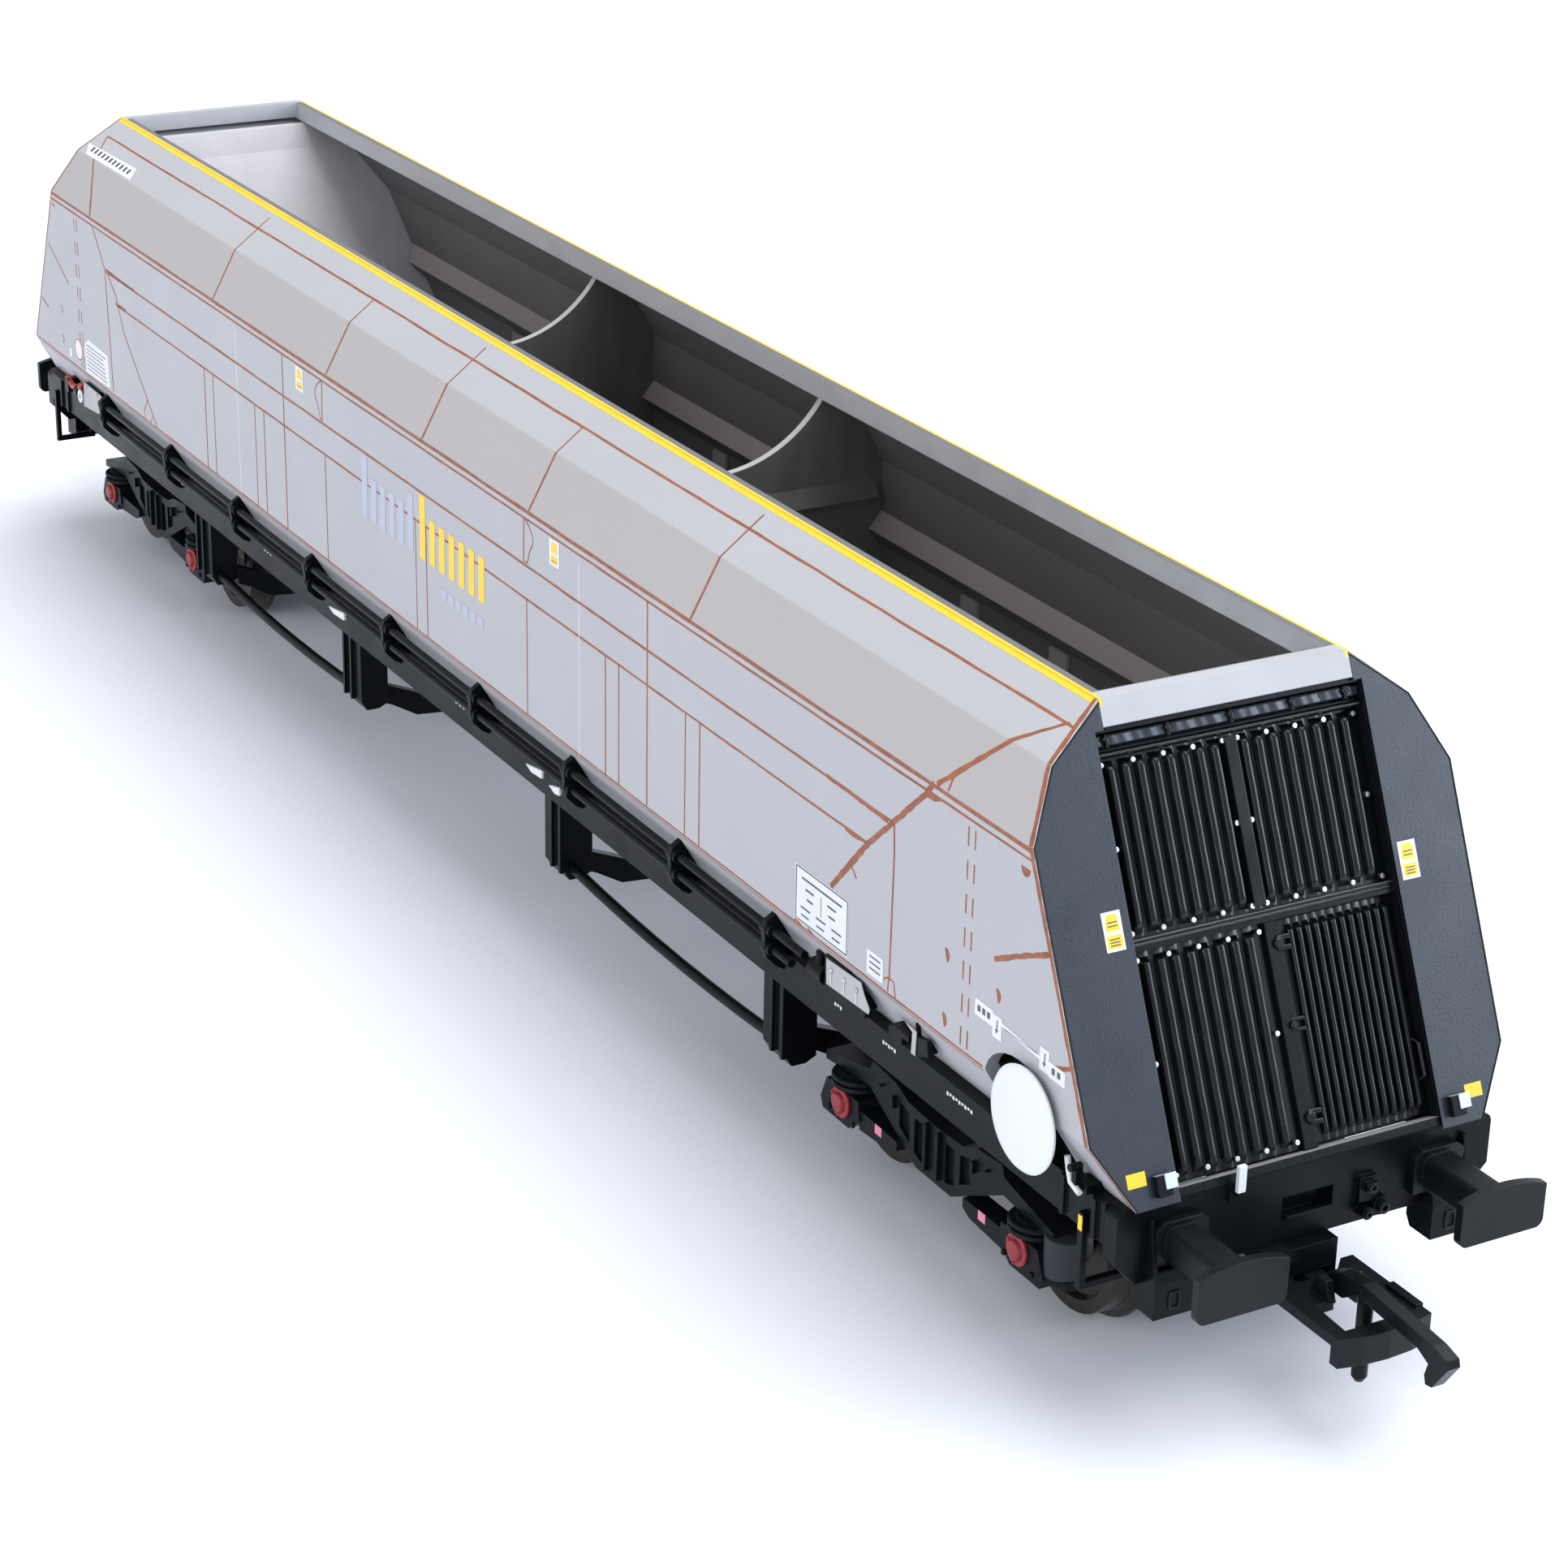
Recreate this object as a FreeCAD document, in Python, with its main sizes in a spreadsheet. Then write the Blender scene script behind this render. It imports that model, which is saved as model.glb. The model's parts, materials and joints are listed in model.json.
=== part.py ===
import FreeCAD, Part
import math
import os
import Sketcher
from FreeCAD import Placement, Rotation, Vector

# Bogie coal hopper wagon, OO scale (1:76.2, 16.5 mm gauge), all sizes in millimetres.
# +X runs along the wagon to end "a", +Z is up, z = 0 is the plane under the wheel flanges.
# The wagon looks the same after half a turn about Z, so most pieces come in pairs made by
# the same function: end "a" or side "left" (-Y), and the same piece turned by 180 degrees.

doc = FreeCAD.newDocument("hopper_wagon")
sheet = doc.addObject("Spreadsheet::Sheet", "dims")

SIZES = [
    # body shell: side profile corners (half width, height), sheet and end slope
    ("coaming_half", 10.95, "half width over the top coaming"),
    ("coaming_top", 51.0, "top of the coaming above the flange plane"),
    ("coaming_drop", 1.9, "height of the coaming strip"),
    ("coaming_thick", 0.9, "thickness of the coaming strip"),
    ("upper_half", 15.7, "half width at the upper fold"),
    ("upper_fold", 47.34, "height of the upper fold"),
    ("waist_half", 18.36, "half width of the vertical side"),
    ("waist_fold", 42.44, "height of the fold above the vertical side"),
    ("skirt_fold", 23.0, "height of the fold below the vertical side"),
    ("foot_half", 15.46, "half width at the foot of the side"),
    ("foot_level", 18.24, "height of the foot of the side"),
    ("sheet_thick", 1.1, "thickness of the folded side sheet"),
    ("ledge_level", 35.7, "height of the ledge inside the side"),
    ("ledge_reach", 1.3, "how far the ledge stands in from the side"),
    ("ledge_slope", 1.6, "height of the bevels above and below the ledge"),
    ("end_lean", 24.3, "lean of the end plane from the vertical, degrees"),
    ("end_foot", 122.66, "X where the end plane meets z = 0"),
    ("end_run", 0.4515, "tangent of the end lean"),
    ("end_secant", 1.09722, "distance up the leaning end per unit of height"),
    ("recess_half", 11.7, "half width of the recess in the end"),
    ("rib_pitch", 1.29, "spacing of the ribs on the end panels"),
    # interior
    ("bay_half", 22.7, "X of the two partitions"),
    ("partition_thick", 0.8, "thickness of a partition"),
    ("arc_radius", 13.0, "radius of the dished partition top"),
    ("chute_rim", 20.9, "level of the upper rim of the discharge chutes"),
    ("chute_rim_half", 15.8, "half width of a chute at its rim"),
    ("chute_level", 12.6, "lowest level of the discharge chutes"),
    ("chute_half", 8.6, "half width of a chute mouth"),
    ("chute_mouth", 6.0, "half length of a chute mouth"),
    ("slope_foot", 61.6, "X of the foot of the sloping end sheets"),
    # underframe
    ("solebar_half", 16.7, "outer face of the solebars"),
    ("solebar_low", 15.0, "underside of the solebars"),
    ("web_thick", 0.8, "solebar web"),
    ("headstock_face", 113.9, "outer face of the headstock"),
    ("headstock_thick", 1.6, "thickness of the headstock"),
    ("beam_low", 12.1, "underside of the headstock"),
    ("frame_outer", 64.0, "X of the outer cross frames"),
    ("frame_inner", 23.0, "X of the inner cross frames"),
    ("leg_half", 1.9, "half width of a hanger of a cross frame"),
    ("rod_radius", 0.36, "operating rods"),
    ("rod_side", 17.9, "distance of the rods from the centre line"),
    ("rod_upper", 20.4, "height of the upper rod"),
    ("rod_lower", 18.8, "height of the lower rod"),
    ("pipe_radius", 0.5, "low level pipes"),
    ("pipe_side", 15.2, "distance of the pipes from the centre line"),
    # buffers
    ("buffer_side", 11.5, "half the buffer spacing"),
    ("buffer_face", 122.0, "X of the buffer faces"),
    ("buffer_head_half", 3.83, "half width of a buffer head"),
    ("buffer_low", 13.05, "lower edge of a buffer head"),
    ("buffer_high", 16.6, "corner height of a buffer head"),
    ("buffer_crown", 17.25, "top of the curved upper edge"),
    # bogies
    ("bogie_x", 85.5, "bogie centre"),
    ("half_base", 13.125, "half the bogie wheelbase"),
    ("axle_level", 7.0, "axle centre above the flange plane"),
    ("tread_radius", 6.2, "wheel tread"),
    ("flange_radius", 7.0, "wheel flange"),
    ("flange_width", 0.75, "thickness of the flange"),
    ("wheel_back", 7.2, "half the back to back distance"),
    ("wheel_width", 2.8, "overall width of a wheel"),
    ("axle_radius", 1.0, "axle"),
    ("axle_tip", 13.0, "half the length over the pinpoints"),
    ("side_inner", 11.6, "inner face of the bogie side frame"),
    ("side_outer", 14.0, "outer face of the bogie side frame"),
    ("pivot_radius", 1.5, "bogie pivot screw"),
    ("pivot_gap", 0.06, "radial clearance round the pivot screw"),
    # couplings and hand wheel
    ("coupler_pin", 112.6, "X of the coupling pivot"),
    ("coupler_face", 124.4, "front of the coupling bar"),
    ("hook_pin_x", 118.3, "X of the hook pivot"),
    ("hook_pin_z", 10.5, "height of the hook pivot"),
    ("hand_wheel_x", 104.8, "X of the hand wheel"),
    ("hand_wheel_z", 22.0, "height of the hand wheel"),
    ("hand_wheel_radius", 4.1, "hand wheel"),
]


class Dim:
    """A size taken from the sheet: its number now, and the expression that drives it."""

    def __init__(self, value, text):
        self.value, self.text = float(value), text

    def _pair(self, other, sign, swap=False):
        other = other if isinstance(other, Dim) else Dim(other, "%g" % other)
        a, b = (other, self) if swap else (self, other)
        value = {"+": a.value + b.value, "-": a.value - b.value, "*": a.value * b.value}[sign]
        return Dim(value, "(%s %s %s)" % (a.text, sign, b.text))

    def __add__(self, other):
        return self._pair(other, "+")

    def __radd__(self, other):
        return self._pair(other, "+", True)

    def __sub__(self, other):
        return self._pair(other, "-")

    def __rsub__(self, other):
        return self._pair(other, "-", True)

    def __mul__(self, other):
        return self._pair(other, "*")

    def __rmul__(self, other):
        return self._pair(other, "*", True)

    def __neg__(self):
        return self._pair(-1, "*")


class Sizes:
    """Every alias of the sheet as an attribute, such as d.bogie_x."""


d = Sizes()
for row, (alias, size, note) in enumerate(SIZES, start=1):
    sheet.set("A%d" % row, note)
    sheet.set("B%d" % row, "%g" % size)
    sheet.setAlias("B%d" % row, alias)
    setattr(d, alias, Dim(size, "dims." + alias))
doc.recompute()


# ---------------------------------------------------------------- building helpers

def num(size):
    return size.value if isinstance(size, Dim) else float(size)


def bind(obj, prop, size):
    """Set a size, and drive it from the sheet when it comes from there."""
    if isinstance(size, Dim):
        obj.setExpression(prop, size.text)
    elif "." not in prop and "[" not in prop:
        setattr(obj, prop, size)


def put(obj, x, y, z, rotation=None):
    """Place an object, with each coordinate driven from the sheet where it can be."""
    obj.Placement = Placement(Vector(num(x), num(y), num(z)), rotation or Rotation())
    for axis, size in zip("xyz", (x, y, z)):
        bind(obj, "Placement.Base." + axis, size)
    return obj


def box(x, y, z, name="block"):
    """A block between two X, two Y and two Z values."""
    obj = doc.addObject("Part::Box", name)
    for prop, (low, high) in zip(("Length", "Width", "Height"), (x, y, z)):
        bind(obj, prop, high - low)
    return put(obj, x[0], y[0], z[0])


TURN = {"x": Rotation(Vector(0, 1, 0), 90), "y": Rotation(Vector(1, 0, 0), -90), "z": Rotation()}


def cylinder(axis, base, radius, length, name="round"):
    obj = doc.addObject("Part::Cylinder", name)
    bind(obj, "Radius", radius)
    bind(obj, "Height", length)
    return put(obj, *base, rotation=TURN[axis])


def cone(axis, base, radius1, radius2, length, name="taper"):
    obj = doc.addObject("Part::Cone", name)
    bind(obj, "Radius1", radius1)
    bind(obj, "Radius2", radius2)
    bind(obj, "Height", length)
    return put(obj, *base, rotation=TURN[axis])


def add_sketch(body, plane, offset=0.0):
    """A sketch on one of the body's own origin planes, moved along the plane's normal."""
    sketch = body.newObject("Sketcher::SketchObject", "outline")
    origin = [f for f in body.Origin.OriginFeatures if f.Role == plane + "_Plane"][0]
    sketch.AttachmentSupport = [(origin, "")]
    sketch.MapMode = "FlatFace"
    sketch.AttachmentOffset = Placement(Vector(0, 0, num(offset)), Rotation())
    bind(sketch, "AttachmentOffset.Base.z", offset)
    return sketch


def fix_point(sketch, index, position, point):
    """Hold one end of a sketch line at a driven distance from the origin."""
    for kind, size in zip(("DistanceX", "DistanceY"), point):
        n = sketch.addConstraint(Sketcher.Constraint(kind, -1, 1, index, position, num(size)))
        if isinstance(size, Dim):
            sketch.setExpression("Constraints[%d]" % n, size.text)


def draw_polygon(sketch, points):
    """A closed outline of straight lines, every corner driven."""
    flat = [Vector(num(p[0]), num(p[1]), 0) for p in points]
    first = sketch.GeometryCount
    lines = [Part.LineSegment(a, b) for a, b in zip(flat, flat[1:] + flat[:1])]
    sketch.addGeometry(lines, False)
    count = len(lines)
    for i in range(count):
        after = first + (i + 1) % count
        sketch.addConstraint(Sketcher.Constraint("Coincident", first + i, 2, after, 1))
    for i, point in enumerate(points):
        fix_point(sketch, first + i, 1, point)


def draw_circle(sketch, centre, radius):
    index = sketch.addGeometry(
        Part.Circle(Vector(num(centre[0]), num(centre[1]), 0), Vector(0, 0, 1), num(radius)), False)
    fix_point(sketch, index, 3, centre)
    n = sketch.addConstraint(Sketcher.Constraint("Radius", index, num(radius)))
    if isinstance(radius, Dim):
        sketch.setExpression("Constraints[%d]" % n, radius.text)


def new_body(name):
    return doc.addObject("PartDesign::Body", name)


def span(plane, low, high):
    """Sketch offset and pad length for a span; the XZ plane's normal points to -Y."""
    return (-high, high - low) if plane == "XZ" else (low, high - low)


def pad(body, plane, points, low, high, circles=()):
    """Grow a straight-edged outline between two levels along the plane's axis."""
    offset, length = span(plane, low, high)
    sketch = add_sketch(body, plane, offset)
    if points:
        draw_polygon(sketch, points)
    for centre, radius in circles:
        draw_circle(sketch, centre, radius)
    feature = body.newObject("PartDesign::Pad", "pad")
    feature.Profile = sketch
    bind(feature, "Length", length)
    return feature


def pocket(body, plane, outlines, low, high, circles=()):
    """Cut outlines between two levels; a pocket runs against the sketch normal."""
    offset, length = span(plane, low, high)
    sketch = add_sketch(body, plane, offset + length)
    for points in outlines:
        draw_polygon(sketch, points)
    for centre, radius in circles:
        draw_circle(sketch, centre, radius)
    feature = body.newObject("PartDesign::Pocket", "pocket")
    feature.Profile = sketch
    bind(feature, "Length", length)
    return feature


def prism(plane, points, low, high, circles=(), name="profile"):
    body = new_body(name)
    pad(body, plane, points, low, high, circles)
    return body


def fillet_edges(body, feature, radius, wanted):
    """Round the edges of a feature that the test function picks by their middle point."""
    doc.recompute()
    names = []
    for i, edge in enumerate(feature.Shape.Edges, start=1):
        middle = edge.valueAt((edge.FirstParameter + edge.LastParameter) / 2)
        if wanted(edge, middle):
            names.append("Edge%d" % i)
    fillet = body.newObject("PartDesign::Fillet", "fillet")
    fillet.Base = (feature, names)
    bind(fillet, "Radius", radius)
    return fillet


def fuse(parts, name="joined"):
    obj = doc.addObject("Part::MultiFuse", name)
    obj.Shapes = parts
    return obj


def cut(base, tools, name="trimmed"):
    obj = doc.addObject("Part::Cut", name)
    obj.Base = base
    obj.Tool = tools[0] if len(tools) == 1 else fuse(tools, "tools")
    return obj


def common(parts, name="kept"):
    obj = doc.addObject("Part::MultiCommon", name)
    obj.Shapes = parts
    return obj


def group(parts, name="set"):
    """Separate solids that are one kind of small piece and share a node."""
    obj = doc.addObject("Part::Compound", name)
    obj.Links = parts
    return obj


HALF_TURN = Placement(Vector(), Rotation(Vector(0, 0, 1), 180))
NODES = []


def half_turn(obj):
    """The opposite copy of a piece: held in a set that is turned by half a turn about Z."""
    if obj.Placement.isIdentity():
        obj.Placement = HALF_TURN
        return obj
    turned = group([obj], "turned")
    turned.Placement = HALF_TURN
    return turned


def node(label, obj):
    """Name a finished piece, which makes it one of the wagon's own pieces."""
    obj.Label = label
    NODES.append(obj)


def pair(stem, endings, maker):
    """The same piece twice: as built, and turned by half a turn about Z."""
    node(stem + endings[0], maker())
    node(stem + endings[1], half_turn(maker()))


# ---------------------------------------------------------------- body shell

INWARD = {  # offset of each inner corner, per unit of sheet thickness
    "upper": (0.776, 0.666),
    "waist": (1.0, 0.254),
    "skirt": (1.0, -0.277),
}


def inner_corner(half, level, key):
    across, down = INWARD[key]
    return half - d.sheet_thick * across, level - d.sheet_thick * down


def inner_half():
    """Inner face of the right side in the YZ plane, from the foot up, with its ledge."""
    skirt = inner_corner(d.waist_half - 0.03, d.skirt_fold, "skirt")
    waist = inner_corner(d.waist_half, d.waist_fold, "waist")
    upper = inner_corner(d.upper_half, d.upper_fold, "upper")
    return [
        (d.foot_half - d.sheet_thick, d.foot_level + 0.1), skirt,
        (waist[0], d.ledge_level - d.ledge_slope), (waist[0] - d.ledge_reach, d.ledge_level),
        (waist[0], d.ledge_level + d.ledge_slope), waist, upper,
        (d.coaming_half, d.coaming_top - 1.55),
    ]


def side_outline():
    """Cross-section of the left side sheet in the YZ plane, from the coaming down."""
    outer = [
        (d.coaming_half, d.coaming_top - 0.1), (d.upper_half, d.upper_fold),
        (d.waist_half, d.waist_fold), (d.waist_half - 0.03, d.skirt_fold),
        (d.foot_half, d.foot_level),
    ]
    return [(-y, z) for y, z in outer + inner_half()]


def section_inside():
    """The space between the two side sheets as a YZ outline, for plates that fill it."""
    right = inner_half()
    return right + [(-y, z) for y, z in reversed(right)]


def end_line(level):
    """X of the leaning end plane at a height."""
    return d.end_foot - level * d.end_run


def trim_ends(body, length=125.0):
    """Cut a long body off along both leaning end planes."""
    for side in (1, -1):
        wedge = [(side * end_line(-5.0), -5.0), (side * end_line(60.0), 60.0),
                 (side * (length + 15.0), 60.0), (side * (length + 15.0), -5.0)]
        pocket(body, "XZ", [wedge], -20.0, 20.0)


def side_sheet():
    """Folded side: two roof facets, the tall side with its inner ledge, and the skirt."""
    body = new_body("side_sheet")
    pad(body, "YZ", side_outline(), -125.0, 125.0)
    trim_ends(body)
    centre, spring, half, rise = 103.0, 22.6, 4.4, 3.15
    arch = [(centre - half * math.cos(a), spring + rise * math.sin(a))
            for a in (math.pi * i / 14 for i in range(15))]
    notch = [(centre - half, 17.0)] + arch + [(centre + half, 17.0)]
    pocket(body, "XZ", [notch], -20.0, -10.0)
    return body


def top_coaming():
    """The ring round the open top: a strip along each side and one across each end."""
    top, low = d.coaming_top, d.coaming_top - d.coaming_drop
    inside = d.coaming_half - d.coaming_thick
    strips = [box((-105.0, 105.0), (inside, d.coaming_half), (low, top)),
              box((-105.0, 105.0), (-d.coaming_half, -inside), (low, top))]
    for side in (1, -1):
        outline = [(side * end_line(top), top), (side * end_line(low), low),
                   (side * (end_line(low) - 1.3), low), (side * (end_line(top) - 1.3), top)]
        strips.append(prism("XZ", outline, -d.coaming_half, d.coaming_half))
    ends = [(-end_line(low), low), (end_line(low), low), (end_line(top), top),
            (-end_line(top), top)]
    limit = prism("XZ", ends, -d.coaming_half, d.coaming_half)
    return common([fuse(strips), limit])


# ---------------------------------------------------------------- leaning end

LEAN = Rotation(Vector(0, 1, 0), -d.end_lean.value).multiply(Rotation(Vector(1, 1, 1), 120))


def on_end(obj):
    """Stand a piece built flat (x across, y up the slope, z outwards) on end "a"."""
    if not obj.Placement.isIdentity():
        obj = group([obj], "leaning")
    return put(obj, d.end_foot, 0.0, 0.0, rotation=LEAN)


def slope(level):
    """Distance up the leaning plane of a given height."""
    return level * d.end_secant


def end_slab(low, high, thickness_from, thickness_to, half=19.0):
    """A flat slab parallel to the end plane, between two heights and two depths."""
    slab = box((-half, half), (slope(low), slope(high)), (thickness_from, thickness_to))
    return on_end(slab)


def end_frame():
    """End plate between the side sheets, with a wide recess for the panels."""
    plate = prism("YZ", section_inside(), 90.0, 120.0)
    slab = end_slab(18.5, 49.1, -2.6, -0.25)
    reach = d.recess_half
    recess = on_end(box((-reach, reach), (slope(19.1), slope(48.75)), (-1.9, 1.0)))
    bars = [
        on_end(box((-reach, reach), (slope(34.45), slope(35.2)), (-1.95, -0.6))),
        on_end(box((-11.2, 11.2), (slope(47.9), slope(48.6)), (-1.95, -0.7))),
        on_end(box((-11.4, 11.4), (slope(47.2), slope(47.65)), (-1.95, -0.9))),
        on_end(box((0.1, 1.3), (slope(19.15), slope(34.4)), (-1.95, -1.0))),
    ]
    brackets = [on_end(box((x - 0.6, x + 0.6), (slope(18.9), slope(20.3)), (-0.3, 0.55)))
                for x in (-13.1, 13.1)]
    shell = cut(common([plate, slab]), [recess])
    return fuse([shell] + bars + brackets)


def ribbed_panel(half_low, half_high, low, high, first, pitch, count, rib):
    """A flat panel with upright ribs made as one patterned pad."""
    body = new_body("ribbed_panel")
    outline = [(half_low, slope(low)), (half_high, slope(low)),
               (half_high, slope(high)), (half_low, slope(high))]
    pad(body, "XY", outline, -1.88, -1.3)
    one_rib = [(first, slope(low + 0.6)), (first + rib, slope(low + 0.6)),
               (first + rib, slope(high - 0.6)), (first, slope(high - 0.6))]
    ridge = pad(body, "XY", one_rib, -1.4, -0.75)
    pattern = body.newObject("PartDesign::LinearPattern", "ribs")
    pattern.Originals = [ridge]
    pattern.Direction = (ridge.Profile[0], ["H_Axis"])
    pattern.Mode = "Spacing"
    bind(pattern, "Offset", pitch)
    pattern.Occurrences = count
    body.Tip = pattern
    return body


def upper_panel():
    return on_end(ribbed_panel(-11.6, 11.6, 35.3, 47.1, -10.63, d.rib_pitch, 17, 0.62))


def lower_panel():
    return on_end(ribbed_panel(-11.6, 0.0, 19.3, 34.35, -10.63, d.rib_pitch, 8, 0.62))


def equipment_door():
    """Louvred door with two hinge knuckles and a handle."""
    panel = ribbed_panel(1.5, 11.1, 19.7, 34.2, 2.3, 0.85, 10, 0.42)
    hinges = [box((1.35, 1.9), (slope(z - 0.5), slope(z + 0.5)), (-1.6, -0.85)) for z in (21.4, 33.0)]
    handle = box((10.5, 10.9), (slope(22.0), slope(24.0)), (-1.4, -0.5))
    return on_end(fuse([panel] + hinges + [handle]))


BOLT_ROWS = [  # height, and the distances across of the bolt heads in that row
    (46.7, (-11.1, -8.39, -5.8, -3.23, -0.65, 0.65, 3.23, 5.8, 8.39, 11.1)),
    (41.2, (-11.1, -0.65, 0.65, 11.1)),
    (35.65, (-11.1, -8.39, -5.8, -3.23, -0.65, 0.65, 3.23, 5.8, 8.39, 11.1)),
    (33.9, (-11.1, -8.39, -5.8, -3.23, -0.5)),
    (27.1, (-11.1, -0.5)),
    (19.8, (-11.1, -8.39, -5.8, -3.23, -0.5)),
]


def end_bolts():
    """Bolt heads that hold the ribbed panels, at both ends of the wagon."""
    def one_end():
        return on_end(group([cylinder("z", (x, slope(level), -1.3), 0.2, 0.4, "bolt")
                             for level, across in BOLT_ROWS for x in across]))
    return group([one_end(), half_turn(one_end())])


# ---------------------------------------------------------------- hopper interior

def slope_sheet():
    """End wall inside the hopper: upright under the coaming, then sloping to the chutes."""
    plate = prism("YZ", section_inside(), 50.0, 106.0)
    foot = d.slope_foot
    outline = [(96.4, 48.9), (94.6, 46.6), (foot, d.chute_rim), (foot + 1.3, d.chute_rim),
               (95.5, 45.4), (97.4, 48.9)]
    return common([plate, prism("XZ", outline, -19.0, 19.0)])


def partition():
    """Dished partition between two bays, with a stiffening band across it."""
    half = d.partition_thick * 0.5
    plate = prism("YZ", section_inside(), d.bay_half - half, d.bay_half + half)
    dish = cylinder("x", (d.bay_half - 2.0, 0.0, 43.0 + d.arc_radius), d.arc_radius, 4.0)
    clear = box((d.bay_half - 2.0, d.bay_half + 2.0), (-10.06, 10.06), (49.4, 60.0))
    low = box((d.bay_half - 2.0, d.bay_half + 2.0), (-19.0, 19.0), (0.0, 18.5))
    band = prism("XZ", [(d.bay_half + half - 0.02, 38.6), (d.bay_half + half + 0.9, 38.9),
                        (d.bay_half + half - 0.02, 40.6)], -16.5, 16.5)
    return fuse([cut(plate, [dish, clear, low]), band])


def chute(low_x, high_x):
    """Discharge chute of one bay: a four-sided funnel of sloping plates, closed by its door."""
    middle = (low_x + high_x) * 0.5

    def rectangle(body, level, x, half_y):
        sketch = add_sketch(body, "XY", level)
        draw_polygon(sketch, [(x[0], -half_y), (x[1], -half_y), (x[1], half_y), (x[0], half_y)])
        return sketch

    def funnel(inset, lift):
        body = new_body("funnel")
        reach = d.chute_mouth - inset
        loft_from = rectangle(body, d.chute_rim + lift, (low_x + inset, high_x - inset),
                              d.chute_rim_half - inset)
        loft_to = rectangle(body, d.chute_level + inset, (middle - reach, middle + reach),
                            d.chute_half - inset)
        loft = body.newObject("PartDesign::AdditiveLoft", "loft")
        loft.Profile = loft_from
        loft.Sections = [loft_to]
        loft.Ruled = True
        return body

    return cut(funnel(0.0, 0.0), [funnel(0.9, 0.01)])


# ---------------------------------------------------------------- underframe

def solebar():
    """Channel-section side member, with web stiffeners near both ends."""
    face, low, top, web = d.solebar_half, d.solebar_low, d.foot_level, d.web_thick
    outline = [(-face, low), (-face, top), (-(face - 2.7), top), (-(face - 2.7), top - 0.7),
               (-(face - web), top - 0.7), (-(face - web), low + 0.6), (-(face - 2.7), low + 0.6),
               (-(face - 2.7), low)]
    reach = d.headstock_face - d.headstock_thick
    body = new_body("solebar")
    pad(body, "YZ", outline, -reach, reach)
    ribs = [box((x - 0.25, x + 0.25), (-(face + 0.25), -(face - 0.02)), (low + 0.02, top - 0.02))
            for x in (-108.6, -106.4, 107.2, 111.2)]
    return fuse([body] + ribs)


def operating_rods():
    """The two long rods that work the discharge doors, one above the other."""
    return group([
        cylinder("x", (-91.5, -d.rod_side, d.rod_upper), d.rod_radius, 163.0),
        cylinder("x", (-91.5, -d.rod_side, d.rod_lower), d.rod_radius, 161.0),
    ])


def inside_fold():
    """All that lies inward of the body's lower fold: cut from what is fixed against it."""
    low, high, out = d.foot_level, d.skirt_fold, d.waist_half - 0.03
    return prism("YZ", [(-d.foot_half, low), (-out, high), (-12.0, high), (-12.0, low)], -112.0, 112.0)


BRACKETS_X = (-90.0, -69.4, -49.7, -29.6, -10.05, 10.05, 29.6, 49.7, 65.9)


def rod_brackets():
    """Thin upright brackets, each with two bosses that carry the operating rods."""
    outline = [(-17.5, 21.75), (-18.35, 21.2), (-18.6, 20.5), (-18.5, 19.5), (-18.6, 18.8),
               (-18.3, 17.95), (-17.4, 17.0), (-16.7, 16.6), (-16.7, 18.24), (-15.5, 18.3)]
    bores = [((-d.rod_side, d.rod_upper), d.rod_radius), ((-d.rod_side, d.rod_lower), d.rod_radius)]
    plates = []
    for x in BRACKETS_X:
        plate = prism("YZ", outline, x - 0.3, x + 0.3)
        bosses = [cylinder("x", (x - 0.75, -d.rod_side, level), 0.62, 1.5)
                  for level in (d.rod_upper, d.rod_lower)]
        holes = [cylinder("x", (x - 2.0, y, z), radius, 4.0) for (y, z), radius in bores]
        plates.append(cut(fuse([plate] + bosses), holes + [inside_fold()]))
    return group(plates)


def headstock():
    """End beam with rounded corners, a coupling slot, lamp irons and air valves."""
    back, face = d.headstock_face - d.headstock_thick, d.headstock_face
    half, top = d.solebar_half, d.foot_level
    outline = [(-half, top), (-half, 14.0), (-15.9, 13.2), (-14.9, d.beam_low), (14.9, d.beam_low),
               (15.9, 13.2), (half, 14.0), (half, top)]
    body = new_body("headstock")
    beam = pad(body, "YZ", outline, back, face)
    rounded = fillet_edges(body, beam, 0.8, lambda e, m: abs(m.z - top.value) < 0.01
                           and abs(abs(m.y) - half.value) < 0.01)
    body.Tip = rounded
    slot = [(-2.3, 14.0), (2.3, 14.0), (2.3, 15.8), (-2.3, 15.8)]
    pocket(body, "YZ", [slot], back + 0.5, face)
    front = (face - 0.02, face + 0.5)
    extras = [
        box((face - 0.02, face + 0.35), (-2.0, 2.0), (14.0, 14.35)),
        box((face - 0.02, face + 0.3), (-7.3, -6.3), (16.9, 18.1)),
        box((face - 0.02, face + 1.0), (-7.1, -6.5), (17.6, 18.1)),
        box(front, (4.4, 6.0), (13.9, 15.9)),
        box((face - 0.02, face + 1.0), (4.7, 5.7), (14.9, 15.6)),
        cylinder("x", (face - 0.02, 6.4, 13.3), 0.75, 0.7),
        cylinder("x", (face - 0.02, 5.0, 13.1), 0.5, 1.0),
    ]
    return fuse([body] + extras)


def bolster():
    """Cross beam over a bogie with its round pivot boss and the stub of the centre sill."""
    x, top = d.bogie_x, d.foot_level
    beam = box((x - 4.0, x + 4.0), (-14.0, 14.0), (d.solebar_low + 0.6, top - 0.7))
    sill = box((64.9, d.headstock_face - d.headstock_thick), (-3.5, 3.5), (14.4, top - 0.7))
    boss = cylinder("z", (x, 0.0, 12.1), 3.2, 2.6)
    bore = cylinder("z", (x, 0.0, 11.0), d.pivot_radius, 5.5)
    return cut(fuse([beam, sill, boss]), [bore])


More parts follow.
